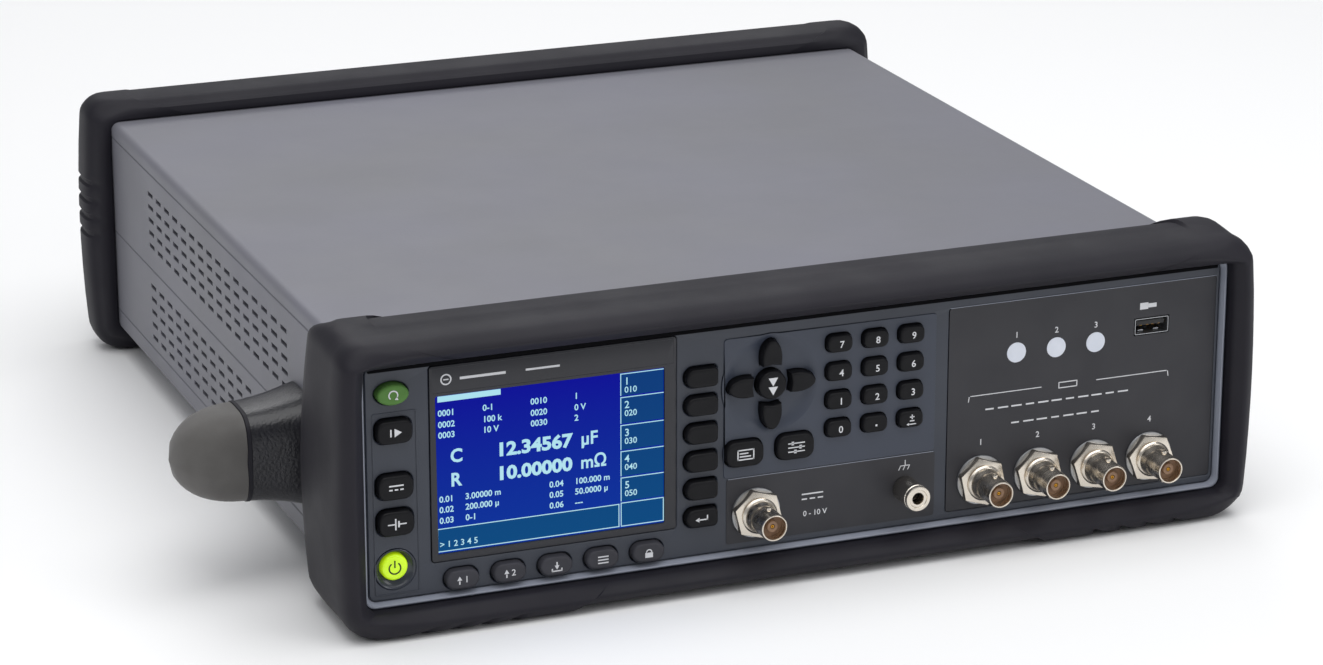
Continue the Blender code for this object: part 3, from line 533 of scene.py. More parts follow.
# ---- bumpers ----
FOOT_INNER, PAD_INNER = 91 * MM, 150 * MM      # where feet and top pads begin, from the case's middle
FOOT_STEP, PAD_STEP = 1.6 * MM, 1.2 * MM
TREADS = (112.7 * MM, 123.5 * MM, 134.0 * MM, 145.3 * MM)      # groove middles, from the same place
TREAD_DEPTH = 2.4 * MM
TREAD_HALVES = 1.9 * MM, 3.2 * MM              # half widths of a groove's floor and mouth
BROW_DROP = 1.4 * MM                           # how far the front bumper hangs over the face's rim
SIDE_BOW = 1.8 * MM
SIDE_RIDGES = (50 * MM, 57 * MM, 64 * MM, 71 * MM)             # heights of the rear bumper's side grooves
RIDGE_DEPTH = 0.9 * MM
TOP_CORNER, LOW_CORNER, TUNNEL_CORNER = 8.5 * MM, 12 * MM, 4.6 * MM
SNUG = 0.4 * MM                                # room between the case and a bumper
BEHIND_SIDES = 14                              # mm the front bumper's sides run further back
REAR_PAD = 0.3                                 # height of the rear bumper's top pads, of the front's


def clamp(value):
    return min(1.0, max(0.0, value))


def foot_line(sign, low, tread):
    """Underside of one foot, walked outwards from the middle, with its tread grooves `tread` deep."""
    floor, mouth = TREAD_HALVES
    points = [(FOOT_INNER - 3 * MM, low + FOOT_STEP), (FOOT_INNER, low)]
    for middle_x in TREADS:
        points += [(middle_x - mouth, low), (middle_x - floor, low + tread),
                   (middle_x + floor, low + tread), (middle_x + mouth, low)]
    return [(MID_X + sign * x, z) for x, z in points]


def side_line(edge, low, high, ridges):
    """One side from its lower to its upper corner: bowed, and grooved across where it has ridges."""
    heights = [low + (high - low) * i / 8 for i in range(1, 8)]
    heights += [z + dz * MM for z in ridges for dz in (-1.6, -0.8, 0.8, 1.6)]
    points = []
    for z in sorted(heights):
        bow = SIDE_BOW * math.sin(math.pi * (z - low) / (high - low)) ** 0.8
        grooved = any(abs(z - ridge) < 1.0 * MM for ridge in ridges)
        points.append((MID_X + edge + bow - (RIDGE_DEPTH if grooved else 0), z))
    return points


def bumper_outline(low_box, high_box, pad=1.0, ridges=(), tread=0.0):
    """Outer outline, anticlockwise from the lower middle. `pad` raises the top corners from 0 to full."""
    low, middle_top = low_box[2], high_box[2] - PAD_STEP
    high = middle_top + PAD_STEP * pad
    edge = (high_box[0] - low_box[0]) / 2 - SIDE_BOW
    points = foot_line(1, low, tread)
    points += arc(MID_X + edge - LOW_CORNER, low + LOW_CORNER, LOW_CORNER, LOW_CORNER, 270, 358, 8)
    points += side_line(edge, low + LOW_CORNER, high - TOP_CORNER, ridges)
    points += arc(MID_X + edge - TOP_CORNER, high - TOP_CORNER, TOP_CORNER, TOP_CORNER, 2, 90, 8)
    points += [(MID_X + PAD_INNER + 0.9 * MM, high), (MID_X + PAD_INNER, middle_top)]
    return points + [(2 * MID_X - x, z) for x, z in reversed(points)]


def tunnel_outline(points, half_width, half_height, radius):
    """Inner outline with a point for each point of the outer one, on the same ray from the middle."""
    made = []
    for x, z in points:
        dx, dz = x - MID_X, z - MID_Z
        scale = min(half_width / max(abs(dx), 1e-9), half_height / max(abs(dz), 1e-9))
        ax, az = abs(dx) * scale, abs(dz) * scale
        cx, cz = half_width - radius, half_height - radius
        if ax > cx and az > cz:
            angle = math.atan2(az - cz, ax - cx)
            ax, az = cx + radius * math.cos(angle), cz + radius * math.sin(angle)
        made.append((MID_X + math.copysign(ax, dx), MID_Z + math.copysign(az, dz)))
    return made


def bumper_ring(bm, inner, outer, t, y, side_extra, half):
    """One ring between the tunnel (t=0) and the outside (t=1); its sides may run further back, least
    near the top corners."""
    verts = []
    for (ix, iz), (ox, oz) in zip(inner, outer):
        start, run = (22 * MM, 12 * MM) if oz < MID_Z else (7 * MM, 5 * MM)
        reach = clamp((abs(ox - MID_X) - (half - start)) / run)
        reach = reach * reach * (3 - 2 * reach) * (1 - 0.45 * clamp((oz - MID_Z) / (44 * MM)))
        verts.append(bm.verts.new((ix + (ox - ix) * t, y + side_extra * reach, iz + (oz - iz) * t)))
    return verts, []


# section of the front bumper: (inside 0 to outside 1, mm behind its front, mm its sides run further back)
FRONT_SECTION = ((0.0, 12.0, 0), (0.0, 7.1, 0), (0.0, 6.6, 0), (0.0, 4.6, 0), (0.05, 3.5, 0),
                 (0.12, 2.7, 0), (0.36, 0.55, 0), (0.41, 0.18, 0), (0.46, 0.02, 0), (0.52, 0.05, 0),
                 (0.6, 0.4, 0), (0.72, 1.1, 0), (0.83, 2.2, 0), (0.91, 3.6, 0), (0.97, 5.8, 0),
                 (1.0, 9.0, 0), (1.0, 11.5, 0), (0.992, 13.5, 1), (0.995, 16.5, 4), (1.0, 20.0, 7),
                 (1.0, 25.0, 11), (0.99, 28.5, 13), (0.95, 31.5, 14), (0.82, 34.0, 14),
                 (0.55, 35.8, 14), (0.25, 36.6, 14))
# section of the rear bumper, whose sides run no further back
REAR_SECTION = [(t, y, 0) for t, y in (
    (0.0, 0.8), (0.1, 0.2), (0.3, 0.0), (0.5, 0.3), (0.62, 1.2), (0.7, 2.6), (0.8, 3.4), (0.9, 4.6),
    (0.97, 6.6), (1.0, 9.5), (1.0, 14.0), (0.97, 17.5), (0.88, 20.5), (0.74, 22.8), (0.55, 24.3),
    (0.35, 24.9))]


def build_bumper(name, low, high, inner, section, top, ridges, tread_from, ends):
    """A bumper lofted through its section. `inner` and `top` give the inner outline and how far the top
    pads have risen at a distance of mm behind the front; `ends` closes it along the case."""
    half, front = (high[0] - low[0]) / 2, low[1]
    bm = bmesh.new()
    rings = []
    for t, y, extra in section:
        tread = TREAD_DEPTH * clamp((t - tread_from) / 0.2)
        outer = bumper_outline(low, high, top(y), ridges, tread)
        rings.append(bumper_ring(bm, inner(y), outer, t, front + y * MM, extra * MM, half))
    full = bumper_outline(low, high, top(math.inf), ridges)
    rings += [bumper_ring(bm, outline, full, t, y, extra * MM, half) for outline, t, y, extra in ends]
    skin(bm, rings, closed=True)
    piece(name + "_shell", bm, RUBBER, stands_for=(name,))


def build_front_bumper():
    front = front_low[1]
    full = bumper_outline(front_low, front_high)
    lip_half = (bezel_high[0] - MID_X + 0.35 * MM, (bezel_high[2] - bezel_low[2]) / 2 + 0.35 * MM)
    lip = tunnel_outline(full, *lip_half, 4.4 * MM)
    brow = [(x, min(z, MID_Z + lip_half[1] - BROW_DROP)) for x, z in lip]
    tunnel = tunnel_outline(full, CASE_HALF[0] + SNUG, CASE_HALF[1] + SNUG, TUNNEL_CORNER)
    build_bumper("front_bumper", front_low, front_high, lambda y: lip if y > 7 else brow, FRONT_SECTION,
                 lambda y: clamp((y - 12) / 14), (), 0.6,
                 ((tunnel, 0.0, front + 36.8 * MM, BEHIND_SIDES), (tunnel, 0.0, front + 12.0 * MM, 0)))


def build_rear_bumper():
    full = bumper_outline(rear_low, rear_high, REAR_PAD, SIDE_RIDGES)
    tunnel = tunnel_outline(full, CASE_HALF[0] + SNUG, CASE_HALF[1] + SNUG, TUNNEL_CORNER)
    mouth = tunnel_outline(full, CASE_HALF[0] - 1 * MM, CASE_HALF[1] - 1 * MM, TUNNEL_CORNER)
    back, step = rear_high[1], cover_high[1] + 0.3 * MM
    build_bumper("rear_bumper", rear_low, rear_high, lambda y: tunnel, REAR_SECTION, lambda y: REAR_PAD,
                 SIDE_RIDGES, 0.7, ((mouth, 0.15, back, 0), (mouth, 0.0, back - 1.2 * MM, 0),
                                    (mouth, 0.0, step, 0), (tunnel, 0.0, step, 0)))


# ---- keys ----
KEYS = [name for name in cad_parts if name.startswith(("key_", "softkey_")) and name != "key_board"]
CURSOR_KEYS = [name for name in KEYS if name.startswith("key_cursor")]
DIGIT_KEYS = [name for name in KEYS if not name.startswith("softkey") and name.rsplit("_", 1)[-1].isdigit()]
CURSOR_HEADINGS = {"key_cursor_right": 0, "key_cursor_up": 90, "key_cursor_left": 180,
                   "key_cursor_down": 270}
ROUND_KEYS = ("key_preset", "key_cursor_centre", "power_button")
GREY_KEYS = ("key_recall_a", "key_recall_b", "key_save", "key_system", "key_local")
CORNERS = {"softkey": 3.2, "key_ret": 3.2, "key_rec": 3.4, "key_sav": 3.4, "key_sys": 3.4, "key_loc": 3.4}
KEY_LIP = 0.9 * MM                             # the solid key's hidden lip, all round
HOLE_CLEARANCE = 0.35 * MM
# a cap's shoulder: (mm drawn in, mm behind its top)
SHOULDER = ((0.0, 1.15), (-0.06, 0.72), (-0.26, 0.32), (-0.58, 0.08), (-1.0, 0.0), (-1.7, 0.05))


def key_size(name):
    low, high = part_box(name)
    return ((low[0] + high[0]) / 2, (low[2] + high[2]) / 2,
            high[0] - low[0] - 2 * KEY_LIP, high[2] - low[2] - 2 * KEY_LIP, low[1])


def petal_outline(name, grow=0.0):
    """Cursor key, notched at its inner end and rounded to a blunt point outwards."""
    cx, cz, width, height, _ = key_size(name)
    heading = CURSOR_HEADINGS[name]
    length, breadth = (width, height) if heading in (0, 180) else (height, width)
    length, half = length * 0.96 + 2 * grow, breadth * 0.44 + grow
    shoulder, inner = length * 0.3, 0.02 * length - length / 2
    local = [(shoulder + (length - shoulder) * math.sin(a) - length / 2, half * math.cos(a))
             for a in [math.pi * i / 16 for i in range(17)]]
    local += [(inner, -half * 0.95), (-length / 2 + 0.08 * length, 0.0), (inner, half * 0.95)]
    c, s = math.cos(math.radians(heading)), math.sin(math.radians(heading))
    return [(cx + t * c - q * s, cz + t * s + q * c) for t, q in local]


def key_outline(name, grow=0.0):
    """The key's shape seen from the front, larger by `grow` all round."""
    cx, cz, width, height, _ = key_size(name)
    if name in CURSOR_HEADINGS:
        return petal_outline(name, grow)
    if name in ROUND_KEYS:
        return arc(cx, cz, width / 2 + grow, height / 2 + grow, 0, 360, 32)[:-1]
    corner = next((r for start, r in CORNERS.items() if name.startswith(start)), 0.36 * height / MM)
    corner = min(corner * MM + grow, height / 2 + grow - 1e-6)
    right = 1.6 * MM if name.startswith(("softkey", "key_return")) else None
    return box_outline(cx, cz, width + 2 * grow, height + 2 * grow, corner, 5, right)


def build_keycap(name):
    """Cap with an upright wall, a rounded shoulder and a very slightly dished top."""
    front = key_size(name)[4]
    outline = key_outline(name)
    bm = bmesh.new()
    rings = [loop(bm, outline, FACE_Y + 3.5 * MM)]
    rings += [loop(bm, scaled_outline(outline, inset * MM), front + y * MM) for inset, y in SHOULDER]
    skin(bm, rings)
    cap(bm, rings[0])
    cap(bm, rings[-1])
    looks = {"key_preset": (KEY_GREEN, "key_green"), "power_button": (LIME, "key_lime")}
    plain = (KEY_GREY, "key_grey") if name in GREY_KEYS else (KEY_BLACK, "key_black")
    material, slot = looks.get(name, plain)
    piece("cap_" + name, bm, material, name, (name,))


RECALL = [(arrow, -1.3, 0.4, 1.0, 90), (bar, -1.3, -0.9, 0.5, 1.2)]
# plain symbols for the keys, with their places in mm from the middle of the key
LEGENDS = {
    "key_preset": [(hoop, 0, 0, 1.5, 0.45, -40, 230), (arrow, 1.15, -1.25, 0.75, 200)],
    "key_trigger": [(arrow, 0.6, 0, 1.7, 0), (bar, -1.5, 0, 0.5, 2.6)],
    "key_dc_bias": [(bar, 0, 0.9, 5.0, 0.5)] + [(bar, x, -0.5, 1.2, 0.5) for x in (-1.9, 0, 1.9)],
    "key_dc_source": [(bar, -0.5, 0, 0.5, 4.0), (bar, 0.6, 0, 0.6, 2.2), (bar, -2.0, 0, 2.4, 0.45),
                      (bar, 2.1, 0, 2.4, 0.45)],
    "key_recall_a": [(lettering, 1.2, 0, 2.3, "1")] + RECALL,
    "key_recall_b": [(lettering, 1.2, 0, 2.3, "2")] + RECALL,
    "key_save": [(arrow, 0, -0.1, 1.0, 270), (bar, 0, 1.0, 0.5, 1.2), (bar, 0, -1.6, 3.6, 0.45),
                 (bar, -1.7, -1.2, 0.45, 1.1), (bar, 1.7, -1.2, 0.45, 1.1)],
    "key_system": [(bar, 0, z, 3.8, 0.45) for z in (1.1, 0, -1.1)],
    "key_local": [(bar, 0, -0.7, 2.8, 1.8), (hoop, 0, 0.3, 0.95, 0.4, 0, 180)],
    "key_return": [(arrow, -1.7, -0.3, 0.95, 180), (bar, 0.2, -0.3, 3.4, 0.45), (bar, 1.7, 0.4, 0.45, 1.7)],
    "key_cursor_centre": [(arrow, 0, 1.7, 2.0, 270), (arrow, 0, -1.5, 2.0, 270)],
    "key_display_format": [(bar, 0, 1.7, 6.2, 0.45), (bar, 0, -1.7, 6.2, 0.45), (bar, -2.9, 0, 0.45, 3.8),
                           (bar, 2.9, 0, 0.45, 3.8), (bar, -0.7, 0.5, 3.2, 0.45),
                           (bar, -0.2, -0.6, 4.2, 0.45)],
    "key_meas_setup": [(bar, 0, z, 6.2, 0.4) for z in (1.5, 0, -1.5)]
                      + [(bar, x, z, 0.9, 1.3) for x, z in ((-1.4, 1.5), (1.5, 0), (-0.4, -1.5))],
    "key_point": [(bar, 0.2, -0.4, 0.7, 0.7)],
    "key_sign": [(bar, 0.2, 0.9, 1.7, 0.4), (bar, 0.2, 0.9, 0.4, 1.7), (bar, 0.2, -0.5, 1.7, 0.4),
                 (arrow, -1.3, -1.7, 0.6, 180), (bar, 0.4, -1.7, 2.6, 0.35)],
    "power_button": [(hoop, 0, -0.2, 2.0, 0.5, 125, 415), (bar, 0, 1.2, 0.5, 2.6)],
}
LEGENDS.update({name: [(lettering, 0.4, -0.3, 2.5, name.rsplit("_", 1)[-1])] for name in DIGIT_KEYS})


def build_keys():
    for name in KEYS + ["power_button"]:
        build_keycap(name)
        if name in LEGENDS:
            cx, cz, _, _, front = key_size(name)
            ink = DARK_INK if name == "power_button" else INK
            printed("print_" + name, front - 0.01 * MM, cx, cz, LEGENDS[name], ink, name)


# ---- front panel ----
def middle(node):
    low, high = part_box(node)
    return (low[0] + high[0]) / 2, (low[2] + high[2]) / 2


def node_outline(node, grow, radius, steps=4):
    low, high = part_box(node)
    return box_outline(*middle(node), high[0] - low[0] + 2 * grow, high[2] - low[2] + 2 * grow, radius, steps)


CURSOR_HUB = middle("key_cursor_centre")
DISH_RADIUS = 17.8 * MM
POWER_HUB = middle("power_button")
POWER_DISH = (POWER_HUB[0] + 0.3 * MM, POWER_HUB[1] - 0.8 * MM)
SOURCE_HOLES = [round_outline(*middle("socket_dc_source"), 5.3 * MM),
                round_outline(*middle("ground_post"), 4.0 * MM)]
TERMINAL_SOCKETS = ["socket_" + name for name in ("low_current", "low_potential", "high_potential",
                                                  "high_current")]
FLOOR_Y = FACE_Y + 2.2 * MM                    # back of the face moulding
OVERLAY_Y = PLATE_Y - 0.25 * MM                # front of the terminal plate's overlay
SOURCE_Y = FACE_Y - 0.2 * MM                   # front of the source panel's overlay


def rim_loop(bm, inset, y, radius):
    """The bezel's outer edge, drawn in by `inset` mm on every side."""
    width, height = bezel_high[0] - bezel_low[0], bezel_high[2] - bezel_low[2]
    mid_z = (bezel_low[2] + bezel_high[2]) / 2
    extra = 2 * inset * MM
    return loop(bm, box_outline(MID_X, mid_z, width - extra, height - extra, radius * MM, 6), y)


def build_bezel():
    """Face with a hole for every key, window and socket, inside a raised rim with rounded edges."""
    front = bezel_low[1]
    step = FACE_Y + 0.9 * MM
    bm = bmesh.new()
    rings = [rim_loop(bm, inset, y, radius) for inset, y, radius in (
        (0, FLOOR_Y, 4.2), (0, front + 0.3 * MM, 4.2), (0.1, front + 0.1 * MM, 4.0),
        (0.2, front + 0.3 * MM, 3.9), (0.2, step, 3.8), (2.2, step, 2.4),
        (2.25, FACE_Y + 0.25 * MM, 2.3), (2.5, FACE_Y, 2.2))]
    skin(bm, rings)
    holes = [key_outline(name, HOLE_CLEARANCE) for name in KEYS if name not in CURSOR_KEYS]
    holes.append(round_outline(*CURSOR_HUB, DISH_RADIUS))
    holes.append(round_outline(*POWER_DISH, 7.2 * MM))
    holes += [node_outline(node, 0.25 * MM, 1.2 * MM) for node in ("display_window", "terminal_plate")]
    faces, floors = [], []
    for hole in holes + SOURCE_HOLES:
        soft = scaled_outline(hole, 0.35 * MM)
        steps = [loop(bm, soft, FACE_Y), loop(bm, hole, FACE_Y + 0.3 * MM), loop(bm, hole, FLOOR_Y)]
        skin(bm, steps)
        faces.append(steps[0])
        floors.append(steps[-1])
    cap(bm, rings[-1], *faces)
    cap(bm, rings[0], *floors)
    piece("bezel_moulding", bm, SLATE, stands_for=("front_bezel",))


def build_rim_bead():
    """Pale bead let into the bezel's rim, rounded over its front. Its pale grey is partly its own paint,
    partly painted highlight.
    """
    front = bezel_low[1]
    section = ((1.62, FACE_Y + 0.8 * MM), (1.55, FACE_Y - 0.1 * MM), (1.3, FACE_Y - 1.0 * MM),
               (1.0, front + 0.15 * MM), (0.75, front), (0.45, front + 0.05 * MM),
               (0.25, front + 0.3 * MM), (0.25, FACE_Y + 0.8 * MM))
    bm = bmesh.new()
    skin(bm, [rim_loop(bm, inset, y, 3.4) for inset, y in section], closed=True)
    piece("rim_bead_and_highlight", bm, BEAD_PAINT_AND_HIGHLIGHT)


def build_face_gasket():
    """Black strip along the top of the face, under the front bumper's brow: painted shadow where the bumper
    shades the face.
    """
    width = bezel_high[0] - bezel_low[0] - 6.4 * MM
    strip = tablet(MID_X, bezel_high[2] - 3.4 * MM, width, 1.3 * MM, 0.3 * MM, FACE_Y - 0.35 * MM,
                   FACE_Y + 0.2 * MM, 0.1 * MM)
    piece("painted_shadow_strip", strip, PAINTED_SHADOW_BLACK)


def border(left, right, bottom, top, radius, width, y_front, y_back):
    """Raised border line `width` mm wide round a rectangle of the face."""
    outer = face_outline(left, right, bottom, top, radius)
    inner = face_outline(left + width, right - width, bottom + width, top - width, max(radius - width, 0.2))
    return plate([outer, inner], y_front, y_back, 0.12 * MM)


def build_panel_details():
    """Border round the left-hand keys, and the power button's dish with a bore that clears its cap."""
    strip = border(1.3, 17.0, 2.4, 66.4, 1.0, 0.45, FACE_Y - 0.22 * MM, FACE_Y + 0.2 * MM)
    piece("left_key_frame", strip, SLATE)
    # the dish's section: (mm radius, mm behind the face, how far it has slid from dish to button)
    section = ((7.15, 2.1, 0), (7.15, -0.1, 0), (6.95, -0.22, 0), (6.7, -0.15, 0), (6.3, 0.2, 0),
               (5.95, 0.6, 0.2), (5.65, 0.95, 0.6))
    dish = bmesh.new()
    rings = []
    for radius, y, shift in section:
        hub = [a + (b - a) * shift for a, b in zip(POWER_DISH, POWER_HUB)]
        rings.append(loop(dish, round_outline(*hub, radius * MM, 48), FACE_Y + y * MM))
    bore = round_outline(*POWER_HUB, key_size("power_button")[2] / 2 + 0.3 * MM, 48)
    rings += [loop(dish, bore, FACE_Y + y * MM) for y in (1.2, 2.1)]
    skin(dish, rings, closed=True)
    piece("power_dish", dish, DISH)


def cursor_dish():
    """Shallow bowl for the cursor keys: filled flat between its rim and the key holes, then pressed in."""
    bm = bmesh.new()
    rim = loop(bm, round_outline(*CURSOR_HUB, DISH_RADIUS, 64), FACE_Y)
    cap(bm, rim, *[loop(bm, key_outline(name, HOLE_CLEARANCE), FACE_Y) for name in CURSOR_KEYS])
    bmesh.ops.subdivide_edges(bm, edges=bm.edges[:], cuts=3, use_grid_fill=True)
    hub = Vector((CURSOR_HUB[0], FACE_Y, CURSOR_HUB[1]))
    for vert in bm.verts:
        t = clamp(((vert.co - hub).length / DISH_RADIUS - 0.74) / 0.26)
        vert.co.y = FACE_Y + 1.0 * MM - 1.3 * MM * t * t * (3 - 2 * t)
    grown = bmesh.ops.extrude_edge_only(bm, edges=[e for e in bm.edges if e.is_boundary])
    for item in grown["geom"]:
        if isinstance(item, bmesh.types.BMVert):
            item.co.y = FACE_Y + 2.1 * MM
    return bm


def build_keypad_panel():
    """Slightly raised panel round the cursor and number keys, and the dish let into it."""
    names = DIGIT_KEYS + ["key_point", "key_sign", "key_display_format", "key_meas_setup"]
    outer = face_outline(125.8, 204.9, 26.9, 77.0, 1.2)
    holes = [key_outline(name, HOLE_CLEARANCE + 0.1 * MM) for name in names]
    holes.append(round_outline(*CURSOR_HUB, DISH_RADIUS, 64))
    bm = plate([scaled_outline(outer, -0.2 * MM)] + holes, FACE_Y - 0.3 * MM, FACE_Y + 0.1 * MM,
               base=[outer] + holes)
    piece("keypad_panel", bm, PANEL)
    piece("cursor_dish", cursor_dish(), PANEL)


# ---- display ----
# All of these are in millimetres of u and w on the face.
LCD_Y = FACE_Y + 0.55 * MM
LCD_LEFT, LCD_RIGHT, LCD_LOW, LCD_HIGH = 23.4, 104.4, 14.2, 69.7
SOFT_LEFT = 88.7                               # left edge of the column beside the soft keys
SOFT_TOPS = (69.3, 61.0, 51.1, 41.8, 32.4, 23.4, 14.7)
MESSAGE_LOW, MESSAGE_HIGH = 14.9, 22.9         # the line along the bottom
SMALL, BIG = 2.2, 4.7                          # heights of the two sizes of numeral
UPPER_COLUMNS, LOWER_COLUMNS = (24.4, 40.0, 56.8, 72.3), (24.4, 33.5, 63.2, 72.3)
SMALL_ROWS = ((63.4, UPPER_COLUMNS, ("0001", "0-1", "0010", "1")),
              (59.4, UPPER_COLUMNS, ("0002", "100 k", "0020", "0 V")),
              (55.7, UPPER_COLUMNS, ("0003", "10 V", "0030", "2")),
              (33.2, LOWER_COLUMNS, ("0.01", "3.00000 m", "0.04", "100.000 m")),
              (29.5, LOWER_COLUMNS, ("0.02", "200.000 µ", "0.05", "50.0000 µ")),
              (25.7, LOWER_COLUMNS, ("0.03", "0-1", "0.06", "---")))


def face_print(name, y, rows, material=INK):
    """Printed marks with their places in mm of u and w."""
    printed(name, y, FACE_LEFT, FACE_BOTTOM, rows, material)


def lcd_area(name, left, right, bottom, top, behind, material):
    bm = tablet(across((left + right) / 2), up((bottom + top) / 2), (right - left) * MM,
                (top - bottom) * MM, 0, LCD_Y + behind * MM, LCD_Y + (behind + 0.02) * MM)
    piece(name, bm, material)


def lcd_rules():
    """The lit lines round the areas, and the title's bar."""
    width, centre = LCD_RIGHT - SOFT_LEFT - 0.2, (SOFT_LEFT + LCD_RIGHT) / 2
    rows = []
    for low, high in zip(SOFT_TOPS[1:], SOFT_TOPS):
        rows.append((bar, centre, high - 0.2, width, 0.3))
        rows.append((bar, SOFT_LEFT + 0.2, (low + 0.45 + high) / 2, 0.3, high - low - 0.45))
    message = (MESSAGE_LOW + MESSAGE_HIGH) / 2
    for w in (MESSAGE_HIGH, MESSAGE_LOW):
        rows.append((bar, (LCD_LEFT + SOFT_LEFT) / 2, w, SOFT_LEFT - LCD_LEFT - 0.8, 0.3))
    rows += [(bar, u, message, 0.3, 8.2) for u in (LCD_LEFT + 0.3, SOFT_LEFT - 0.6, LCD_RIGHT - 0.2)]
    rows.append((bar, centre, MESSAGE_LOW, width, 0.3))
    rows.append((bar, LCD_LEFT + 12.0, 68.4, 22.0, 2.0))
    return rows


def lcd_words():
    """A plain reading made of numerals."""
    rows = [(lettering, u, w, SMALL, text, "LEFT", 0.98, 0.02)
            for w, columns, cells in SMALL_ROWS for u, text in zip(columns, cells)]
    for w, quantity, value, unit in ((47.9, "C", "12.34567", "µF"), (39.5, "R", "10.00000", "mΩ")):
        rows += [(lettering, 28.5, w, BIG, quantity, "LEFT", 0.95, 0.03),
                 (lettering, 44.6, w, BIG, value, "LEFT", 1.12, 0.04),
                 (lettering, 74.4, w, BIG, unit, "LEFT", 0.95, 0.02)]
    for i, top in enumerate(SOFT_TOPS[:5], 1):
        rows += [(lettering, 90.2, top - 3.0, SMALL * 1.2, str(i), "LEFT"),
                 (lettering, 90.2, top - 6.0, SMALL, "0%d0" % i, "LEFT")]
    rows.append((lettering, 24.3, 17.2, SMALL, "> 1 2 3 4 5", "LEFT"))
    return rows


def build_display():
    """Dark window frame, the lit screen a little below it, and the label strip above."""
    outlines = [node_outline("display_window", 0, 1.0 * MM),
                face_outline(LCD_LEFT, LCD_RIGHT, LCD_LOW, LCD_HIGH, 0.3, 2)]
    piece("window_frame", plate(outlines, FACE_Y - 0.15 * MM, FACE_Y + 1.2 * MM, 0.25 * MM), WINDOW_FILM,
          stands_for=("display_window",))
    lcd_area("lcd_screen", LCD_LEFT - 0.4, LCD_RIGHT + 0.4, LCD_LOW - 0.4, LCD_HIGH + 0.4, 0.05, LCD_BLUE)
    for i, (low, high) in enumerate(zip(SOFT_TOPS[1:], SOFT_TOPS), 1):
        lcd_area("lcd_soft_area_%d" % i, SOFT_LEFT + 0.2, LCD_RIGHT - 0.15, low + 0.45, high - 0.2, 0.02,
                 LCD_TEAL)
    lcd_area("lcd_message_area", LCD_LEFT + 0.3, SOFT_LEFT - 0.6, MESSAGE_LOW, MESSAGE_HIGH, 0.02, LCD_TEAL)
    face_print("lcd_lines", LCD_Y, lcd_rules(), LCD_WHITE)
    face_print("lcd_numerals", LCD_Y, lcd_words(), LCD_WHITE)
    strip = border(22.0, 108.0, 70.6, 79.6, 0.8, 0.3, FACE_Y - 0.24 * MM, FACE_Y)
    piece("label_strip_border", strip, WINDOW_FILM)
    face_print("label_strip_marks", FACE_Y - 0.2 * MM, [
        (hoop, 27.2, 75.3, 1.7, 0.5), (bar, 27.2, 75.3, 1.8, 0.45), (bar, 40, 75.2, 16, 0.9),
        (bar, 61, 75.2, 12, 0.7)])


# ---- overlays ----
LAMPS = (235.8, 251.2, 266.5)                  # u of the indicator lamps


def build_overlays():
    """Dark overlays of the terminal plate and of the source panel, with the holes that go through them."""
    outlines = [node_outline("terminal_plate", 0, 0.9 * MM)]
    outlines += [round_outline(*middle(name), 5.4 * MM) for name in TERMINAL_SOCKETS]
    outlines.append(node_outline("usb_socket", 0.3 * MM, 0.4 * MM, 2))
    piece("terminal_overlay", plate(outlines, OVERLAY_Y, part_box("terminal_plate")[1][1]), OVERLAY,
          stands_for=("terminal_plate",))
    outlines = [face_outline(127.0, 205.1, 3.0, 26.4, 0.8)] + SOURCE_HOLES
    piece("source_overlay", plate(outlines, SOURCE_Y, FACE_Y - 0.02 * MM), OVERLAY)


def build_plate_marks():
    """Lamps, marks, and pale bars along the top edges of the plates that paint their highlights. Dashes stand
    for the smallest print, and are drawn coarser than it.
    """
    for i, u in enumerate(LAMPS, 1):
        lens = prism(32, 3.65 * MM, 0, OVERLAY_Y - 0.15 * MM, OVERLAY_Y + 0.1 * MM, 0.1 * MM)
        move(lens, across(u), 0, up(58.7))
        piece("indicator_%d" % i, lens, LED_LENS)
    rows = [(lettering, u, 65.0, 2.2, str(i)) for i, u in enumerate(LAMPS, 1)]
    rows += [(lettering, (middle(name)[0] - FACE_LEFT) / MM, 27.3, 2.2, str(i))
             for i, name in enumerate(TERMINAL_SOCKETS, 1)]
    rows += [(bar, 232.2, 44.7, 27.4, 0.3), (bar, 281.2, 44.7, 27.8, 0.3), (bar, 217.9, 43.6, 0.3, 2.0, 8),
             (bar, 295.6, 43.6, 0.3, 2.0, -8), (bar, 256.2, 45.5, 7.0, 0.35), (bar, 256.2, 43.5, 7.0, 0.35),
             (bar, 252.7, 44.5, 0.35, 2.3), (bar, 259.7, 44.5, 0.35, 2.3), (bar, 285.2, 69.7, 3.2, 2.4),
             (bar, 288.4, 69.7, 3.4, 1.5)]
    rows += [(bar, 226 + 5.2 * i, 39.2, 4.0 if i % 3 else 3.2, 0.55) for i in range(11)]
    rows += [(bar, 236 + 5.2 * i, 33.0, 4.0 if i % 3 else 3.0, 0.55) for i in range(7)]
    face_print("terminal_marks", OVERLAY_Y, rows)
    # pale bars along the top edges of the two plates: painted highlights
    for name, y, u, w, width, height in (
            ("terminal_plate_painted_highlight", FACE_Y - 0.05 * MM, 261.7, 77.75, 103.4, 0.22),
            ("source_plate_painted_highlight", SOURCE_Y, 166.05, 26.55, 77.0, 0.2)):
        piece(name, bar(y, across(u), up(w), width, height), BEAD_PAINT_AND_HIGHLIGHT)
    rows = [(bar, 193.9, 23.8, 0.3, 2.0), (bar, 193.9, 22.8, 3.6, 0.3)]
    rows += [(bar, u, 22.0, 0.3, 1.7, 25) for u in (191.8, 193.5, 195.2)]
    rows += [(bar, 159, 17.4, 8.0, 0.5)] + [(bar, u, 15.6, 2.0, 0.5) for u in (156, 159, 162)]
    rows.append((lettering, 160, 10.2, 2.0, "0 - 10 V"))
    face_print("source_marks", SOURCE_Y, rows)


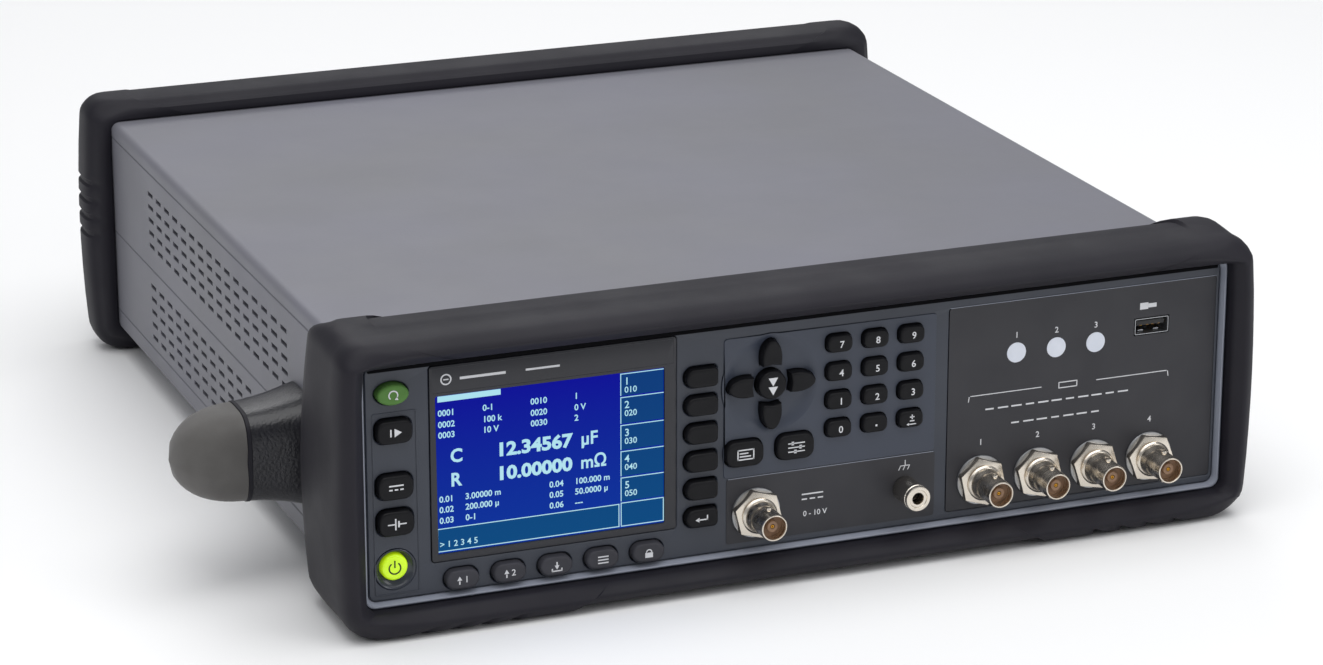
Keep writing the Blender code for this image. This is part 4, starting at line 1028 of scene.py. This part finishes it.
# ---- sockets ----
def build_coaxial(name, panel_y, turn):
    """Bayonet socket: lock washer, hex nut, stepped barrel with two lugs, insulator and gold contact."""
    x, z = middle(name)
    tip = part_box(name)[0][1]
    short = name.replace("socket_", "")
    nut_back = panel_y - 0.7 * MM
    nut_front = nut_back - 2.6 * MM

    def spun(label, profile, steps, material, stands_for=()):
        piece(short + label, turned(x, z, profile, steps), material, stands_for=stands_for)

    washer = along(panel_y, (5.1, 0), (8.9, 0), (9.0, -0.3), (8.8, -0.7), (5.1, -0.7), (5.1, 0))
    spun("_washer", washer, 48, ZINC)
    nut = prism(6, 7.9 * MM / math.cos(math.pi / 6), turn, nut_front, nut_back, 0.45 * MM, 2)
    uprights = [e for e in nut.edges if abs((e.verts[0].co - e.verts[1].co).normalized().y) > 0.9]
    round_off(nut, uprights, 0.35 * MM, 2)
    move(nut, x, 0, z)
    piece(short + "_nut", nut, NICKEL)
    barrel = along(nut_back, (4.4, 4), (5.9, 4))
    barrel += along(nut_front, (5.9, -0.2), (6.35, -0.3), (6.4, -0.9), (6.1, -1.3), (5.6, -1.6), (5.45, -2.6),
                    (5.0, -3.6), (4.85, -4.4))
    barrel += along(tip, (4.85, 2.2), (4.75, 2.0), (4.75, 0.5), (4.62, 0.12), (4.45, 0), (4.2, 0),
                    (4.05, 0.25), (4.0, 0.6), (4.0, 9))
    spun("_barrel", barrel, 48, NICKEL, (name,))
    lugs = bmesh.new()
    for side in (1, -1):
        lug = bmesh.new()
        bmesh.ops.create_cone(lug, cap_ends=True, segments=20, radius1=0.95 * MM, radius2=0.95 * MM,
                              depth=1.6 * MM)
        round_off(lug, [e for e in lug.edges if all(v.co.z > 0.7 * MM for v in e.verts)], 0.2 * MM, 2)
        rotate(lug, 0 if side > 0 else 180, "X")
        move(lug, x, tip + 5.4 * MM, z + side * 5.0 * MM)
        merge(lugs, lug)
    piece(short + "_lugs", lugs, NICKEL)
    spun("_insulator", along(tip, (0, 3.6), (3.99, 3.6), (3.99, 7.6), (0, 7.6)), 32, PTFE)
    spun("_sleeve", along(tip, (2.15, 3.7), (2.1, 2.2), (1.9, 1.9), (0.85, 1.9), (0.8, 3.7)), 28, PTFE)
    spun("_contact", along(tip, (0, 3.7), (0.62, 3.7), (0.62, 2.2), (0.55, 2.0), (0.3, 2.0), (0.28, 3.2),
                           (0, 3.2)), 24, GOLD)


def build_sockets():
    for i, name in enumerate(TERMINAL_SOCKETS):
        build_coaxial(name, OVERLAY_Y, 12 + 3 * i)
    build_coaxial("socket_dc_source", SOURCE_Y, 14)


def build_ground_post():
    x, z = middle("ground_post")
    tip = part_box("ground_post")[0][1]
    knurl = along(SOURCE_Y, (0, 2), (3.4, 2), (3.4, -0.1), (4.4, -0.15), (4.6, -0.5))
    knurl += along(tip, (4.6, 1.9), (4.3, 1.6))
    piece("ground_post_knurl", turned(x, z, knurl), KNURL, stands_for=("ground_post",))
    ring = along(tip, (4.3, 1.7), (4.55, 1.3), (4.6, 0.5), (4.4, 0.1), (4.1, 0), (3.3, 0), (3.1, 0.35),
                 (2.7, 0.45), (2.2, 0.4), (2.05, 0.8), (2.05, 9))
    piece("ground_post_end", turned(x, z, ring), NICKEL)
    well = along(tip, (0, 8), (2.04, 8), (2.04, 9), (0, 9))
    piece("ground_post_well", turned(x, z, well, 24), DARK_PLASTIC)


def build_usb():
    """Folded shell, and inside it the tongue, its contacts and two springs."""
    low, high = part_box("usb_socket")
    cx, cz = middle("usb_socket")
    width, height = high[0] - low[0], high[2] - low[2]
    front = PLATE_Y - 0.35 * MM
    outer = node_outline("usb_socket", 0, 0.5 * MM, 3)
    inner = node_outline("usb_socket", -0.35 * MM, 0.3 * MM, 3)
    bm = bmesh.new()
    rings = [loop(bm, outline, front + y * MM) for outline, y in (
        (outer, 12), (outer, 0.25), (scaled_outline(outer, -0.1 * MM), 0),
        (scaled_outline(inner, 0.05 * MM), 0), (inner, 0.3), (inner, 11.5))]
    skin(bm, rings)
    cap(bm, rings[-1])
    piece("usb_shell", bm, ZINC, stands_for=("usb_socket",))
    tongue = tablet(cx, cz + 0.95 * MM, width - 2.4 * MM, 1.7 * MM, 0.2 * MM, front + 1.2 * MM,
                    front + 11 * MM, 0.15 * MM, 2, 2)
    piece("usb_tongue", tongue, DARK_PLASTIC)
    contacts = [tablet(cx + dx * MM, cz + 0.05 * MM, 1.0 * MM, 0.12 * MM, 0, front + 1.5 * MM,
                       front + 10 * MM) for dx in (-3.5, -1.0, 1.0, 3.5)]
    piece("usb_contacts", joined(contacts), GOLD)
    springs = [tablet(cx + dx * MM, cz - height / 2 + 0.75 * MM, 2.2 * MM, 0.5 * MM, 0.1 * MM,
                      front + 2.5 * MM, front + 8 * MM, 0.2 * MM, 2, 2) for dx in (-3.0, 3.0)]
    piece("usb_springs", joined(springs), ZINC)


# ---- side grip ----
def build_side_grip():
    """Flared neck, thin collar and soft grip: rounded sections along -X, closed by a round nose."""
    neck_low, neck_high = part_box("handle_neck")
    grip_low, grip_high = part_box("handle_grip")
    cy, cz = (grip_low[1] + grip_high[1]) / 2, (grip_low[2] + grip_high[2]) / 2

    def lofted(name, material, sections, stands_for=()):
        """Sections are (x, half y, half z, squareness, seam); the seam pinches both ends of the Y axis."""
        bm = bmesh.new()
        rings = []
        for x, half_y, half_z, square, seam in sections:
            verts = []
            for i in range(48):
                c, s = math.cos(2 * math.pi * i / 48), math.sin(2 * math.pi * i / 48)
                y = half_y * math.copysign(abs(c) ** square, c)
                z = half_z * math.copysign(abs(s) ** square, s)
                verts.append(bm.verts.new((x, cy + y * (1 - (seam if abs(s) < 0.01 else 0)), cz + z)))
            rings.append((verts, []))
        skin(bm, rings)
        bm.faces.new(rings[0][0])
        bm.faces.new(rings[-1][0])
        piece(name, bm, material, stands_for=stands_for)

    end_y, end_z = 14 * MM, 16 * MM
    spread_y, spread_z = (neck_high[1] - neck_low[1]) / 2 - end_y, (neck_high[2] - neck_low[2]) / 2 - end_z
    length = neck_high[0] - neck_low[0]
    lofted("grip_neck", NECK, [
        (neck_high[0] - length * t, end_y + spread_y * flare, end_z + spread_z * flare, 0.55, 0)
        for t, flare in ((0, 1.0), (0.08, 0.9), (0.2, 0.72), (0.4, 0.45), (0.65, 0.2), (0.85, 0.06),
                         (1.0, 0.0))], ("handle_neck",))
    split = grip_high[0]
    lofted("grip_collar", RUBBER, [
        (split + x * MM, y * MM, (y + 2) * MM, 0.56, 0)
        for x, y in ((0.9, 14.0), (0.6, 14.25), (-0.5, 14.2), (-0.8, 13.7))])
    reach = grip_high[0] - grip_low[0] - 0.8 * MM
    steps = 14
    sections = []
    for t in [i / steps for i in range(steps + 1)]:
        swell = math.sqrt(max(0.0, 1 - t ** 2.6))
        sections.append((split - 0.8 * MM - reach * t, max(14.0 * MM * swell, 0.4 * MM),
                         max(15.9 * MM * swell, 0.4 * MM), 0.56 + 0.34 * t, 0.07))
    lofted("grip_overmould", GRIP, sections, ("handle_grip",))


# ---- rear ----
# blocks on the rear panel: mm from its middle (x, z), width, height, depth
REAR_SHELLS = ((-20, 14, 64, 19, 1.0), (40, 14, 17, 15, 2.4), (66, 14, 13, 12, 2.0), (-10, -16, 44, 15, 1.2))
REAR_BODIES = ((-20, 14, 58, 15, 3.0), (40, 14, 13, 11, 2.6), (66, 14, 9, 8, 2.2), (-10, -16, 36, 11, 2.6))
REAR_SCREWS = ((-150, 34), (150, 34), (-150, -34), (150, -34), (-49, 14), (9, 14), (-35, -16), (15, -16),
               (20, 34), (20, -34), (-120, -25), (-120, 25), (-70, -25), (-70, 25))
REAR_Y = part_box("rear_panel")[1][1]
SCREW_HEAD = along(REAR_Y, (0, 1.0), (0.9, 1.0), (1.0, 1.5), (2.0, 1.5), (2.6, 1.1), (2.8, 0.4),
                   (2.8, -0.2), (0, -0.2))


def rear_blocks(name, blocks, material, corner=0.8, edge=0.3):
    shapes = []
    for dx, dz, width, height, depth in blocks:
        shape = tablet(0, 0, width * MM, height * MM, corner * MM, -depth * MM, 0, edge * MM, 3, 2)
        rotate(shape, 180, "Z")
        move(shape, MID_X + dx * MM, REAR_Y + 0.05 * MM, MID_Z + dz * MM)
        shapes.append(shape)
    piece(name, joined(shapes), material)


def build_rear():
    rear_blocks("rear_connector_shells", REAR_SHELLS, ZINC)
    rear_blocks("rear_connector_bodies", REAR_BODIES, DARK_PLASTIC)
    heads = [turned(MID_X + dx * MM, MID_Z + dz * MM, SCREW_HEAD, 24) for dx, dz in REAR_SCREWS]
    piece("rear_screws", joined(heads), ZINC)
    rear_blocks("rear_blank_label", ((66, -16, 46, 18, 0.15),), LABEL, 0.5, 0.05)


# ---- CAD pieces that stay ----
def dress_frame_parts():
    kept = {"display_module": DARK_PLASTIC, "keypad_mat": SILICONE, "key_board": BOARD, "main_board": BOARD,
            "power_supply": BOARD, "chassis": ZINC, "rear_panel": ZINC, "power_inlet": DARK_PLASTIC,
            "fan_frame": DARK_PLASTIC, "fan_rotor": DARK_PLASTIC}
    for node, material in kept.items():
        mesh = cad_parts[node].data
        mesh.materials.clear()
        mesh.materials.append(material)


# ---- studio ----
def area_light(name, place, target, size, power):
    data = bpy.data.lights.new(name, "AREA")
    data.shape = "RECTANGLE"
    data.size, data.size_y = size
    data.energy = power
    lamp = bpy.data.objects.new(name, data)
    lamp.location = place
    lamp.rotation_euler = (Vector(target) - Vector(place)).to_track_quat("-Z", "Y").to_euler()
    bpy.context.scene.collection.objects.link(lamp)


def build_studio():
    """Pale floor, even bluish surroundings and four soft lights, sized in metres and lit in watts."""
    floor = bmesh.new()
    bmesh.ops.create_grid(floor, x_segments=1, y_segments=1, size=6)
    mesh = bpy.data.meshes.new("floor")
    floor.to_mesh(mesh)
    floor.free()
    mesh.materials.append(surface("pale_floor", "#fbfbfb", 0.85)[0])
    plane = bpy.data.objects.new("floor", mesh)
    bpy.context.scene.collection.objects.link(plane)
    world = bpy.data.worlds.new("studio")
    world.use_nodes = True
    world.node_tree.nodes["Background"].inputs["Color"].default_value = (0.94, 0.96, 1, 1)
    world.node_tree.nodes["Background"].inputs["Strength"].default_value = 0.34
    bpy.context.scene.world = world
    area_light("overhead", (0.15, -0.35, 1.7), (0.05, 0, 0), (1.9, 1.9), 24)
    area_light("front_right", (1.2, -1.5, 0.8), (0.05, -0.1, 0.05), (0.8, 0.8), 5)
    area_light("back_fill", (0.3, 1.9, 1.5), (0, 0.6, 0), (1.6, 0.8), 10)
    area_light("left_fill", (-0.9, -0.9, 1.3), (-0.5, -0.55, 0), (1.2, 1.2), 5)
    bpy.context.scene.view_settings.view_transform = "Standard"


def place_camera():
    """Long lens, looking down by 18 degrees from in front and to the left."""
    data = bpy.data.cameras.new("camera")
    data.sensor_width = 36
    data.lens = 113.2
    camera = bpy.data.objects.new("camera", data)
    camera.location = (FACE_LEFT - 0.3840, FACE_Y - 1.2246, 0.5288)
    camera.rotation_euler = (math.radians(90 - 18.27), 0, math.radians(-21.70))
    bpy.context.scene.collection.objects.link(camera)
    bpy.context.scene.camera = camera


for build in (build_cover, build_front_bumper, build_rear_bumper, build_bezel, build_rim_bead,
              build_face_gasket, build_panel_details, build_keypad_panel, build_keys, build_display,
              build_overlays, build_plate_marks, build_sockets, build_ground_post, build_usb,
              build_side_grip, build_rear, dress_frame_parts, build_studio, place_camera):
    build()
